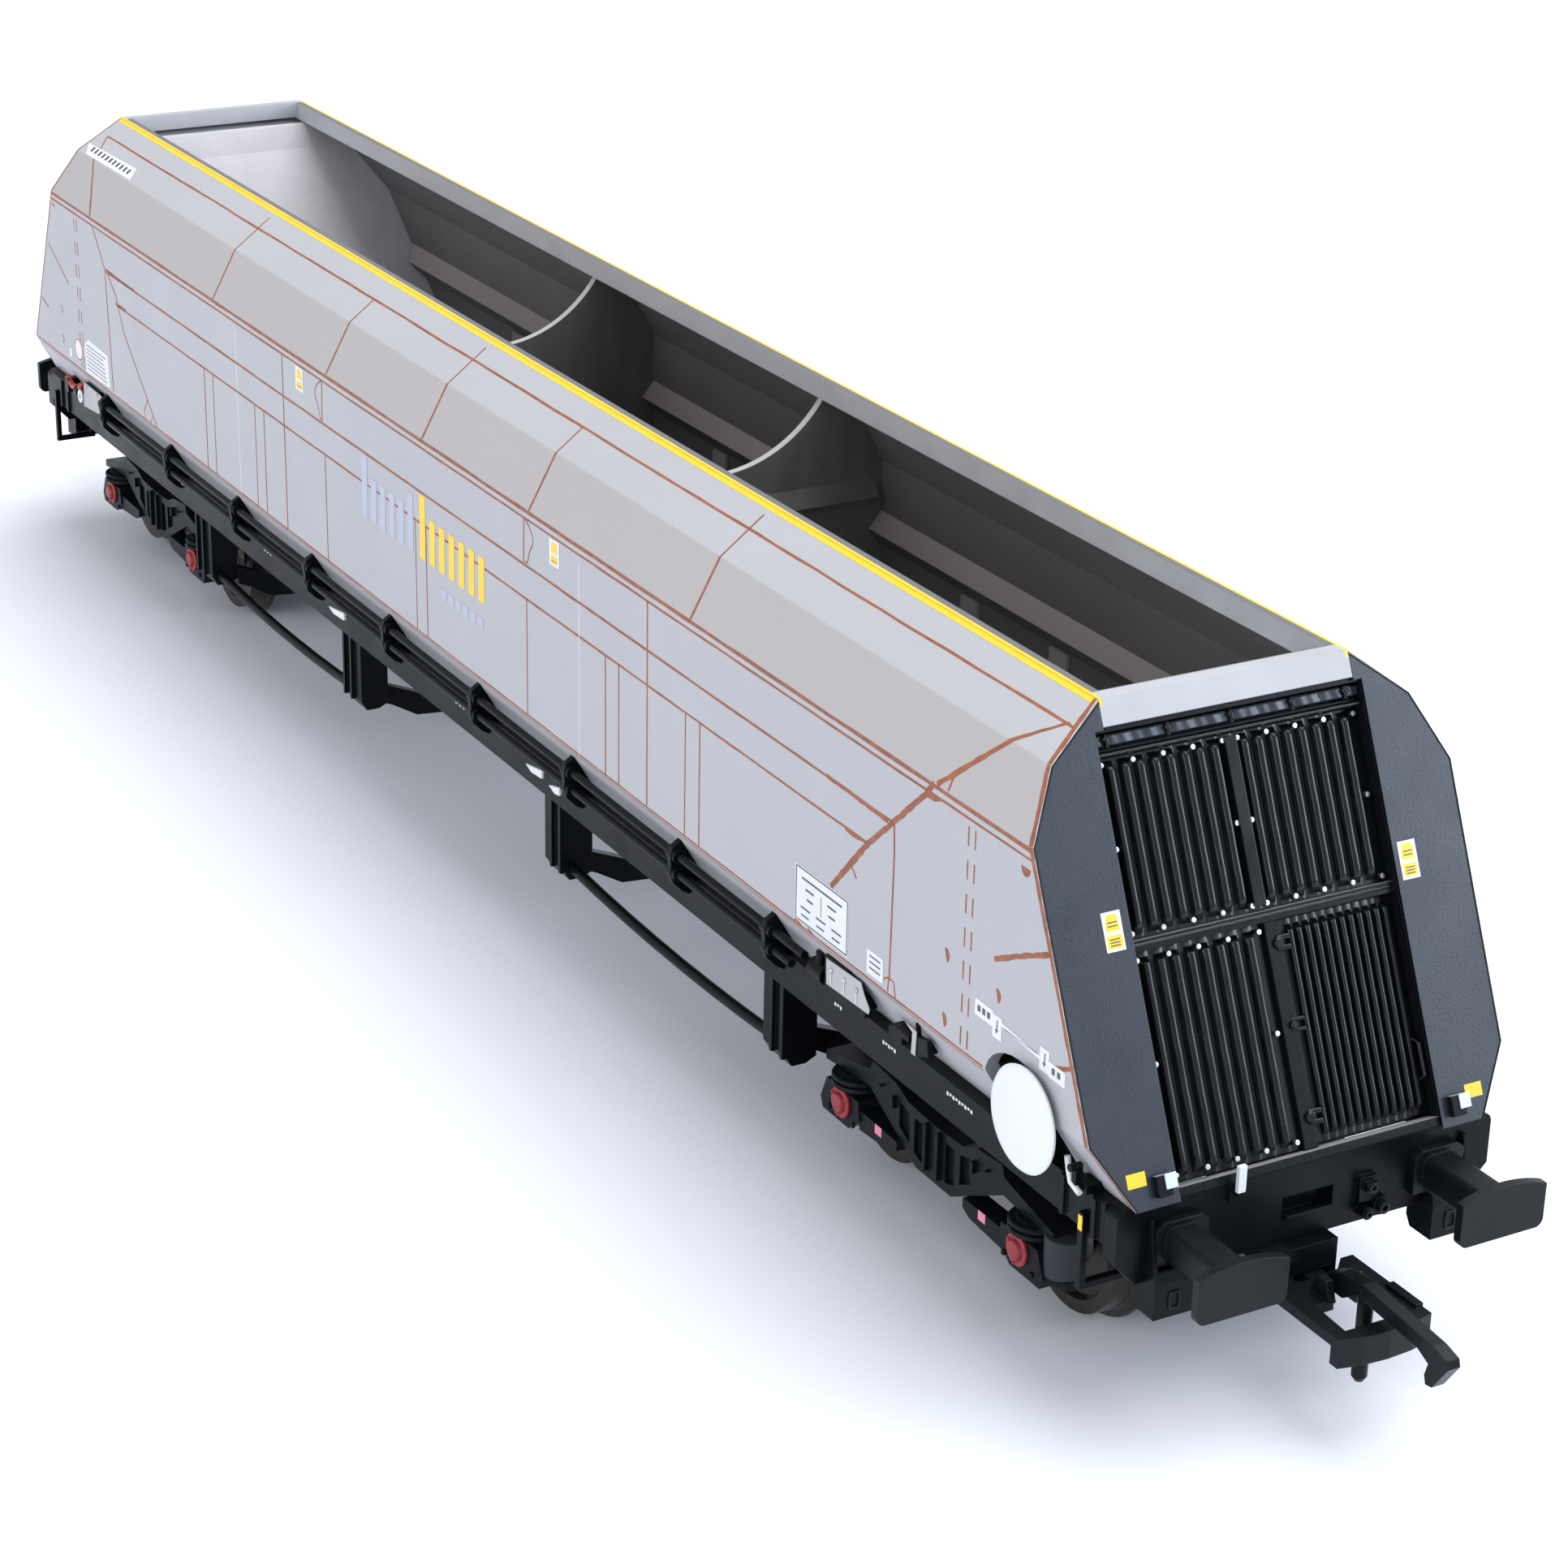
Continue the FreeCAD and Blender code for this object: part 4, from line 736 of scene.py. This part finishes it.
def side_print(shape):
    """Borders and plain bars that stand for printing."""
    def bar(x, z, lift=INK_LIFT):
        side_patch(shape, x, z, lift)

    for z in PLATE_Z:
        bar(PLATE_X, (z - 0.06, z + 0.06))
    for x in PLATE_X:
        bar((x - 0.06, x + 0.06), PLATE_Z)
    bar((71.6, 77.8), (27.2, 27.38))
    for low, high in ((72.2, 73.5), (75.6, 76.9)):
        bar((low, high), (26.4, 26.58))
        bar((low + 0.2, high - 0.1), (25.6, 25.78))
    bar((74.6, 74.68), (25.1, 26.8))
    for x in (71.5, 73.9, 76.3):
        bar((x, x + 1.5), (24.7, 24.86))
        bar((x + 0.1, x + 1.3), (24.05, 24.2))
    for z in (24.0, 24.5, 25.0):
        bar((82.1, 83.7), (z, z + 0.13))
    for i in range(11):
        bar((-98.4 + i * 1.16, -97.85 + i * 1.16), (47.75, 48.15))
    for row in range(7):
        bar((-94.1, -94.1 + random.uniform(5.0, 6.9)), (23.8 + row * 0.46, 23.9 + row * 0.46))
    for x in (97.35, 98.0, 98.65):
        bar((x, x + 0.4), (27.2, 27.7))
    for x in (107.2, 107.9):
        bar((x, x + 0.4), (26.6, 27.1))
    bar((101.0, 105.2), (27.29, 27.34))
    for x, z in ((99.95, 26.5), (106.2, 26.7)):
        side_shape(shape, [(x + 0.03, z + 1.1), (x + 0.15, z + 1.1), (x + 0.12, z + 0.3), (x + 0.25, z + 0.3),
                           (x, z), (x - 0.2, z + 0.3), (x - 0.02, z + 0.3)], INK_LIFT)
    for low, high in STICKERS:
        bar((low + 0.45, high - 0.45), (39.3, 39.38), TOP_INK_LIFT)


def ring_mark(shape):
    """Plain red ring on its round white ground, near end "b" on the left side."""
    centre, out = on_side(RING_X, RING_Z)
    count = 20
    for i in range(count):
        a, b = 2 * math.pi * i / count, 2 * math.pi * (i + 1) / count
        points = [centre + Vector((math.cos(t) * r, 0, math.sin(t) * r)) + out * 0.035
                  for t, r in ((a, 1.35), (b, 1.35), (b, 1.15), (a, 1.15))]
        shape.slab(points, out, PATCH)


def ring_ground(shape):
    """White round ground of the red ring."""
    centre, out = on_side(RING_X, RING_Z)
    count, radius = 24, 1.45
    angles = [2 * math.pi * i / count for i in range(count)]
    shape.slab([centre + Vector((math.cos(a) * radius, 0, math.sin(a) * radius)) + out * 0.02
                for a in angles], out, PATCH)


def stripe_row(shape, first_x, tops):
    """Evenly spaced plain bars, the place of the operator's lettering."""
    foot, pitch = 30.6, 2.15
    for i, top in enumerate(tops):
        x = first_x + i * pitch
        side_shape(shape, [(x, foot), (x + 1.25, foot), (x + 1.35, top), (x + 0.1, top)])


def pale_stripes(shape):
    stripe_row(shape, -14.4, (36.9, 35.0, 35.0, 35.0, 35.0, 36.3))
    for i in range(6):
        side_patch(shape, (3.8 + i * 1.6, 4.9 + i * 1.6), (28.1, 29.1))


def yellow_stripe(shape):
    stripe_row(shape, -0.9, (36.9, 35.0, 35.0, 35.0, 35.0, 35.0, 35.0))


def rim_stripe(shape):
    """Yellow band along the very top of the body side."""
    top, low = COAMING[1] - 0.01, COAMING[1] - 0.26
    out = on_side(0.0, low)[1]
    top_x, low_x = end_x(COAMING[1]) - 0.5, end_x(low) - 0.5
    corners = ((-top_x, top), (top_x, top), (low_x, low), (-low_x, low))
    shape.slab([on_side(x, z)[0] for x, z in corners], out, 0.02)


# ---- end panels

PANEL_HALF = 11.6            # half width of the strips across the recess


def rib(distance, width, height):
    """Rib of a pressed sheet with a flat top and round shoulders, as a height over the flat."""
    if abs(distance) >= width / 2:
        return 0.0
    return height * (1.0 - abs(2.0 * distance / width) ** 3.0) ** 0.7


def corrugated(y, z, first, pitch, count, width, height=0.62):
    """Builder of a corrugated panel on the leaning end, its ribs closed at both ends."""
    base, back = -1.45, -1.88

    def build(shape):
        columns = int((y[1] - y[0]) / pitch * 20)

        def place(across, up):
            nearest = min(max(round((across - first) / pitch), 0), count - 1)
            tip = min(1.0, max(0.0, min(up - z[0] - 0.35, z[1] - 0.35 - up) / 0.5))
            raised = rib(across - first - nearest * pitch, width, height) * math.sin(tip * math.pi / 2)
            wave = 0.012 * math.sin(up * 1.9 + across * 0.7)
            return on_end(across, up, base + raised + wave * (raised > 0))
        shape.height_sheet(y, z, columns, 40, place)
        shape.height_sheet(y, z, 1, 1, lambda across, up: on_end(across, up, back))
    return build


def lumps(across, up):
    """Slight unevenness of the strips."""
    return math.sin(across * 2.3 + up) + 0.7 * math.sin(across * 5.7 + up * 2.0)


def end_seal(shape):
    """Flat sealing strip under the coaming, a little wavy."""
    low, high = 47.72, 48.7

    def place(across, up):
        crown = min(1.0, 6.0 * min(up - low, high - up)) if low < up < high else 0.0
        return on_end(across, up, -1.5 + 0.85 * crown + 0.035 * lumps(across, up) * crown)
    shape.height_sheet((-PANEL_HALF, PANEL_HALF), (low, high), 140, 10, place)


def end_strips(shape):
    """The middle strip, the ledge, the cross bar, and the clips of the sealing strip."""
    shape.hull_of([on_end(y, z, depth) for z in (35.6, 46.9)
                   for y, depth in ((-0.62, -1.4), (-0.5, -0.78), (0.5, -0.78), (0.62, -1.4))])
    for low, high, depth in ((47.05, 47.6, -0.35), (34.6, 35.2, -0.5)):
        def place(across, up, low=low, high=high, depth=depth):
            crown = math.sin(math.pi * (up - low) / (high - low)) ** 0.5
            return on_end(across, up, depth - 0.9 + 0.9 * crown + 0.02 * lumps(across, up) * crown)
        shape.height_sheet((-PANEL_HALF, PANEL_HALF), (low, high), 140, 8, place)
    for y in (-10.6, -5.3, 0.2, 5.6, 10.4):
        shape.tube([on_end(y, 47.8, -0.6), on_end(y, 48.2, -0.45), on_end(y, 48.6, -0.6)], 0.17)
        shape.tube([on_end(y - 0.3, 48.35, -0.5), on_end(y + 0.3, 48.3, -0.5)], 0.13)


def wing_plates(shape):
    """Flat satin plates either side of the recess, flush with the edges of the side sheets."""
    inner, top = 11.7, 48.9
    outline = [(COAMING[0], COAMING[1] - 0.1), *FOLDS[1:], (inner, FOOT[1]), (inner, top), (COAMING[0], top)]
    for side in (-1, 1):
        shape.slab([on_end(side * y, z, -0.02) for y, z in outline], END_OUT, 0.04)


def wing_rims(shape):
    """Fine raised bead round the outside of both wing plates."""
    folds = [(COAMING[0] + 0.1, COAMING[1] - 0.2)] + FOLDS[1:]
    for side in (-1, 1):
        shape.tube([on_end(side * (y - 0.1), z, 0.02) for y, z in folds], 0.07, 8)


def door_fittings(shape):
    """Lock, hinges and handle of the equipment door."""
    for z, size in ((32.9, 0.42), (27.4, 0.3), (21.2, 0.42)):
        for offset in (-0.35, 0.35):
            shape.tube([on_end(0.95, z + offset, -1.1), on_end(1.9, z + offset, -0.75)], size * 0.55)
        shape.turned(on_end(1.0, z, -1.3), END_OUT,
                     [(0.0, size), (0.5, size), (0.62, size * 0.7), (0.62, 0.0)], 20)
    shape.tube([on_end(11.15, 21.7, -1.1), on_end(11.25, 22.0, -0.5), on_end(11.25, 24.2, -0.5),
                on_end(11.15, 24.5, -1.1)], 0.16)


LABEL_DEPTH = 0.025          # back of the labels on the ends, out of the end plane
MARK_DEPTH, TOP_MARK_DEPTH, MARK = LABEL_DEPTH + 0.02, LABEL_DEPTH + 0.035, 0.015
WING_LABELS = ((-13.2, 34.9), (12.95, 35.1))   # distance across and foot height


def end_patch(shape, y, z, depth=LABEL_DEPTH, thickness=0.02):
    """A rectangular patch between two distances across and two heights of end "a"."""
    corners = [on_end(a, b, depth) for a, b in ((y[0], z[0]), (y[1], z[0]), (y[1], z[1]), (y[0], z[1]))]
    shape.slab(corners, END_OUT, thickness)


def wing_labels(shape):
    for y, z in WING_LABELS:
        end_patch(shape, (y - 0.8, y + 0.8), (z, z + 2.6))


def wing_label_marks(shape):
    """Two plain yellow patches on each label."""
    for y, z in WING_LABELS:
        corners = [on_end(y + across, z + up, MARK_DEPTH)
                   for across, up in ((-0.6, 1.35), (0.6, 1.35), (0.42, 2.4), (-0.42, 2.4))]
        shape.slab(corners, END_OUT, MARK)
        end_patch(shape, (y - 0.62, y + 0.62), (z + 0.2, z + 1.05), MARK_DEPTH, MARK)


def wing_label_ink(shape):
    """Plain bars that stand for printing."""
    for y, z in WING_LABELS:
        for low in (0.35, 0.55, 0.75, 1.6, 1.85):
            end_patch(shape, (y - 0.42, y + 0.42), (z + low, z + low + 0.08), TOP_MARK_DEPTH, MARK)


def corner_patches(shape):
    end_patch(shape, (-15.85, -14.25), (19.85, 20.8))
    end_patch(shape, (14.2, 15.75), (19.8, 20.75))


def lamp_lenses(shape):
    for y in (-13.1, 13.1):
        end_patch(shape, (y + 0.05, y + 1.0), (19.35, 20.35), 0.56, 0.12)


def lamp_iron_tip(shape):
    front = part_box("headstock_a")[1].x / MM
    shape.block((front - 0.32, -7.15, 17.9), (front + 0.03, -6.45, 20.1))


def headstock_rings(shape):
    """Rims of the air connections on the headstock, and of the sockets on its steps."""
    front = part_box("headstock_a")[1].x / MM
    for y, z, size in ((5.2, 15.25, 0.42), (6.4, 13.3, 0.5), (5.0, 13.1, 0.34)):
        shape.turned(Vector((front, y, z)), (1, 0, 0),
                     [(-0.3, size), (0.12, size), (0.16, size * 0.85), (0.16, size * 0.5),
                      (-0.2, size * 0.45), (-0.2, 0.0)], 24)
    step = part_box("steps_a")[1].x / MM
    for y in (-12.4, 12.4):
        path = [(y - 0.35, 10.3), (y + 0.35, 10.3), (y + 0.45, 10.8), (y + 0.35, 11.6), (y - 0.35, 11.6),
                (y - 0.45, 11.1), (y - 0.35, 10.3)]
        shape.tube([Vector((step + 0.03, across, up)) for across, up in path], 0.13, 8)


# ---- small things on the frame

PANEL_Y = -17.92             # face of the door control gear on the left side
PIN_X = (75.9, 77.9, 79.8)


def solebar_levers(shape):
    """White painted handles on the solebar front."""
    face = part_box("solebar_left")[0].y / MM
    for low, high, foot in ((-26.6, -22.6, 16.7), (19.2, 22.6, 16.7), (24.0, 26.2, 16.4)):
        outline = ((low, foot + 0.35), (high, foot + 0.9), (high, foot + 0.1), (low + 1.2, foot - 0.05))
        shape.hull_of([Vector((x, y, z)) for x, z in outline for y in (face - 0.3, face - 0.02)])


def solebar_print(shape):
    """Plain short bars in place of the small lettering on the solebar."""
    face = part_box("solebar_left")[0].y / MM + 0.22
    pitch = 0.42
    for low, high in ((74.4, 75.8), (81.8, 83.9), (91.2, 95.2), (-45.0, -42.6), (3.0, 5.2), (-70.0, -68.0)):
        for i in range(int((high - low) / pitch)):
            x = low + i * pitch
            shape.block((x, face - 0.03, 17.05 + 0.1 * (i % 2)), (x + 0.26, face + 0.02, 17.35))


def control_plates(shape):
    """Pale grey panels over the door control gear, and the bracket beside the near one."""
    outlines = (
        ((75.1, 19.5), (81.6, 19.7), (81.7, 20.2), (80.9, 21.0), (80.3, 21.9), (75.0, 21.7)),
        ((-97.2, 18.4), (-91.2, 18.9), (-90.9, 21.3), (-96.8, 21.4)),
        ((87.9, 19.3), (88.5, 19.3), (88.6, 21.4), (86.9, 21.5), (88.0, 21.1)))
    for outline in outlines:
        shape.slab([Vector((x, PANEL_Y, z)) for x, z in outline], Vector((0, -1, 0)), 0.08)


def control_pins(shape):
    """Thin white pins on the panel."""
    for x in PIN_X:
        shape.tube([Vector((x, PANEL_Y - 0.13, 19.9)), Vector((x, PANEL_Y - 0.13, 20.8))], 0.06, 8)


def control_bolts(shape):
    for x in PIN_X + (-96.0, -92.4):
        shape.turned(Vector((x, PANEL_Y - 0.06, 21.0)), (0, -1, 0),
                     [(0.0, 0.2), (0.12, 0.2), (0.18, 0.1), (0.18, 0.0)], 16)


def white_crank(shape):
    """Bent white lever beside the end step."""
    path = [(108.6, 20.6), (108.9, 19.6), (109.2, 18.8), (110.4, 18.4)]
    shape.tube([Vector((x, -17.6, z)) for x, z in path], 0.24)


def red_pipes(shape):
    shape.tube([Vector((x, -17.35, z)) for x, z in ((-104.4, 19.9), (-102.6, 19.2), (-100.8, 19.6))], 0.36)
    shape.tube([Vector((x, -17.3, 19.9)) for x in (-99.9, -98.9)], 0.5)


def white_ring(shape):
    shape.turned(Vector((-98.2, -17.9, 19.3)), (0, -1, 0),
                 [(0.0, 0.75), (0.2, 0.75), (0.2, 0.3), (0.0, 0.3)], 24)


def stirrup_marks(shape):
    shape.block((109.85, -17.24, 15.2), (110.35, -17.18, 16.4))


# ---- bogie detail, at bogie "a"

BOGIE_X, HALF_BASE, AXLE_Z, BOGIE_FACE = 85.5, 13.125, 7.0, 14.0
AXLES = [(side, BOGIE_X + u) for side in (-1, 1) for u in (-HALF_BASE, HALF_BASE)]   # side, X


def bogie_ribs(shape):
    """Upright ribs on both side frames, and bolts under the axleboxes."""
    for side in (-1, 1):
        inner, outer = sorted((side * (BOGIE_FACE - 0.05), side * (BOGIE_FACE + 0.42)))
        for u in (-7.8, -5.9, -0.9, 0.9, 5.9, 7.8):
            low = 6.1 + abs(u) * 0.62
            shape.block((BOGIE_X + u - 0.16, inner, low), (BOGIE_X + u + 0.16, outer, 10.8))
        for x in [axle_x for axle_side, axle_x in AXLES if axle_side == side]:
            for offset in (-1.9, 1.9):
                shape.turned(Vector((x + offset, side * (BOGIE_FACE + 0.6), 5.75)), (0, side, 0),
                             [(-0.05, 0.28), (0.14, 0.28), (0.2, 0.16), (0.2, 0.0)], 6)


def spring_rings(shape):
    """Rubber rings between each axlebox and the side frame."""
    profile = [(0.0, 1.65), (0.2, 1.75), (0.22, 2.25), (0.3, 2.32), (0.5, 2.32), (0.6, 2.25), (0.64, 1.95),
               (0.8, 1.95), (0.84, 2.25), (0.92, 2.32), (1.1, 2.32), (1.22, 2.2), (1.25, 1.8), (1.4, 1.6)]
    for side, x in AXLES:
        shape.turned(Vector((x, side * 12.95, 8.15)), (0, 0, 1), profile, 40)


def bogie_labels(shape):
    for x in (BOGIE_X - 7.7, BOGIE_X + 7.7):
        shape.block((x - 0.5, -BOGIE_FACE - 0.44, 6.5), (x + 0.5, -BOGIE_FACE - 0.38, 7.3))


def damper(shape):
    """Damper cylinder at the outer end of the bogie."""
    shape.turned(Vector((BOGIE_X + 16.6, -12.9, 6.25)), (0, 0, 1),
                 [(0.0, 1.3), (0.12, 1.5), (3.2, 1.5), (3.3, 1.42), (3.4, 0.9), (3.4, 0.0)], 36)


def covers(shape):
    """Red axlebox covers: a rim, a groove and a domed hub, held by three bolts."""
    for side, x in AXLES:
        centre = Vector((x, side * (BOGIE_FACE + 0.6), AXLE_Z))
        shape.turned(centre, (0, side, 0),
                     [(0.0, 1.35), (0.2, 1.35), (0.3, 1.25), (0.3, 1.02), (0.22, 0.98), (0.22, 0.86),
                      (0.45, 0.82), (0.58, 0.72), (0.64, 0.5), (0.65, 0.0)])
        for k in range(3):
            a = 2 * math.pi * k / 3 + 0.5
            bolt = centre + Vector((math.cos(a) * 1.13, 0, math.sin(a) * 1.13))
            shape.turned(bolt, (0, side, 0), [(0.2, 0.12), (0.42, 0.12), (0.46, 0.0)], 6)


# ---- inside and wheel detail

def wall_posts(shape):
    """Pale posts under the ledges of both hopper walls, two in each bay."""
    for middle in (-53.6, -39.2, -7.4, 7.4, 39.2, 53.6):
        for side in (-1, 1):
            inner, outer = sorted((side * 17.24, side * 16.85))
            shape.block((middle - 1.35, inner, 24.2), (middle + 1.35, outer, 34.0))


def hand_wheel_disc(shape):
    """Plain domed disc of the hand wheel with a rolled rim, and its short shaft behind."""
    low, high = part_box("hand_wheel_left")
    centre = (low + high) / 2 / MM
    radius = (high.x - low.x) / 2 / MM
    shape.turned(Vector((centre.x, low.y / MM, centre.z)), (0, 1, 0),
                 [(0.24, 0.0), (0.26, radius * 0.55), (0.32, radius * 0.86), (0.42, radius * 0.96),
                  (0.6, radius), (0.78, radius * 0.985), (0.86, radius * 0.94), (0.86, 0.7), (3.3, 0.6),
                  (3.3, 0.0)], 72)


# ---- the pieces

def build_sides():
    for build, material in (
            (drawn_lines, "rust"), (faint_lines, "print_faint"), (side_labels, "print_white"),
            (side_label_marks, "print_yellow"), (side_print, "print_ink"), (ring_ground, "print_white"),
            (ring_mark, "pipe_red"), (painted_edge_highlight, "print_faint"), (rim_stripe, "print_yellow"),
            (pale_stripes, "print_blue"), (yellow_stripe, "print_yellow")):
        both(build, SIDES, material)


def build_ends():
    sheets = {"upper_panel": corrugated((-11.65, 11.65), (35.25, 47.2), -10.32, 1.29, 17, 0.86),
              "lower_panel": corrugated((-11.65, 0.3), (19.25, 34.4), -10.32, 1.29, 8, 0.86),
              "equipment_door": corrugated((1.4, 11.6), (19.4, 34.3), 2.3, 0.78, 12, 0.56, 0.5)}
    for node_name, build in sheets.items():
        both(build, ENDS, "panel_black", node_name + "_sheet", replaces=node_name, smooth=True,
             slot="panel_black")
    both(end_seal, ENDS, "end_slate", smooth=True)
    for build in (end_strips, wing_rims, door_fittings):
        both(build, ENDS, "panel_black", smooth=True)
    both(wing_plates, ENDS, "end_slate", slot="end_slate")
    for build, material in (
            (wing_labels, "print_white"), (wing_label_marks, "print_yellow"), (wing_label_ink, "print_ink"),
            (corner_patches, "print_yellow"), (lamp_lenses, "lamp_lens")):
        both(build, ENDS, material)
    both(lamp_iron_tip, ENDS, "wheel_white", bevel=0.08)
    both(headstock_rings, ENDS, "buffer_black", smooth=True)


def build_frame():
    both(solebar_levers, SIDES, "wheel_white", bevel=0.08)
    both(solebar_print, SIDES, "print_faint")
    both(control_plates, SIDES, "control_grey", bevel=0.03)
    for build, material in (
            (control_pins, "wheel_white"), (control_bolts, "bolt_silver"), (white_crank, "wheel_white"),
            (red_pipes, "pipe_red"), (white_ring, "wheel_white")):
        both(build, SIDES, material, smooth=True)
    both(stirrup_marks, SIDES, "print_yellow")


def build_bogies():
    bogies = ("bogie_a", "bogie_b")
    both(bogie_ribs, ENDS, "bogie_black", bodies=bogies, bevel=0.06)
    both(spring_rings, ENDS, "bogie_black", bodies=bogies, smooth=True)
    both(bogie_labels, ENDS, "print_pink", bodies=bogies)
    both(damper, ENDS, "damper_grey", bodies=bogies, smooth=True)
    both(covers, ENDS, "cover_red", bodies=bogies, replaces="axle_covers", smooth=True, slot="cover_red")


def build_inside():
    shape = Shape()
    wall_posts(shape)
    shape.piece("wall_posts", "post", bevel=0.05)


def build_hand_wheels():
    both(hand_wheel_disc, SIDES, "wheel_white", bodies=("brake_wheel_left", "brake_wheel_right"),
         replaces="hand_wheel", smooth=True, slot="wheel_white")


def paint_nodes():
    """Every CAD node gets the material of its slot in the record, except a few with their own."""
    own = {"slope_sheet": "slope", "end_frame": "end_frame", "bogie_frame": "bogie_black"}
    for part in frame["record"]["subparts"]:
        name = part["node"]
        stem = name.removesuffix("_a").removesuffix("_b")
        obj = frame["nodes"][name]
        obj.data.materials.clear()
        obj.data.materials.append(PAINTS[own.get(stem, part["material_slot"])])


# ---- stage, light and camera

def floor():
    half = 3.0               # metres
    mesh = bpy.data.meshes.new("floor")
    corners = [(-half, -half, 0), (half, -half, 0), (half, half, 0), (-half, half, 0)]
    mesh.from_pydata(corners, [], [(0, 1, 2, 3)])
    obj = bpy.data.objects.new("floor", mesh)
    bpy.context.scene.collection.objects.link(obj)
    material, shader, where = new_material("white_table")
    feed(shader.inputs["Base Color"], mix(noise(where, 60.0), (0.78, 0.80, 0.875), (0.80, 0.82, 0.89)))
    shader.inputs["Roughness"].default_value = 0.75
    obj.data.materials.append(material)


def area_light(name, location, target, size, power, colour=(1, 1, 1)):
    """A rectangular lamp in metres, aimed at a target."""
    data = bpy.data.lights.new(name, "AREA")
    data.shape = "RECTANGLE"
    data.size, data.size_y = size
    data.energy = power
    data.color = colour
    obj = bpy.data.objects.new(name, data)
    obj.location = location
    obj.rotation_euler = (Vector(target) - Vector(location)).to_track_quat("-Z", "Y").to_euler()
    bpy.context.scene.collection.objects.link(obj)


def lights():
    world = bpy.data.worlds.new("studio")
    world.use_nodes = True
    background = world.node_tree.nodes["Background"]
    background.inputs["Color"].default_value = (0.93, 0.96, 1.0, 1.0)
    background.inputs["Strength"].default_value = 0.75
    bpy.context.scene.world = world
    area_light("overhead", (0.05, 0.25, 0.85), (0.0, 0.0, 0.02), (1.1, 0.8), 9.0)
    area_light("side_fill", (0.1, -1.0, 0.35), (0.0, 0.0, 0.03), (1.2, 0.5), 5.0)
    area_light("end_fill", (0.42, 0.42, 0.20), (0.11, 0.0, 0.035), (0.20, 0.26), 1.6, (0.76, 0.89, 1.0))


def camera():
    data = bpy.data.cameras.new("camera")
    data.sensor_width = 36.0
    data.lens = 84.08
    data.clip_start, data.clip_end = 0.01, 20.0
    obj = bpy.data.objects.new("camera", data)
    place = Matrix.Translation(Vector((296.50, -148.97, 145.88)) * MM)
    azimuth, elevation, roll = (math.radians(v) for v in (60.20, 23.06, 1.245))
    obj.matrix_world = (place @ Matrix.Rotation(azimuth, 4, "Z")
                        @ Matrix.Rotation(math.pi / 2 - elevation, 4, "X") @ Matrix.Rotation(roll, 4, "Z"))
    bpy.context.scene.collection.objects.link(obj)
    bpy.context.scene.camera = obj


camera()
lights()
floor()
paint_nodes()
build_sides()
build_ends()
build_frame()
build_bogies()
build_inside()
build_hand_wheels()
bpy.context.scene.view_settings.view_transform = "Standard"
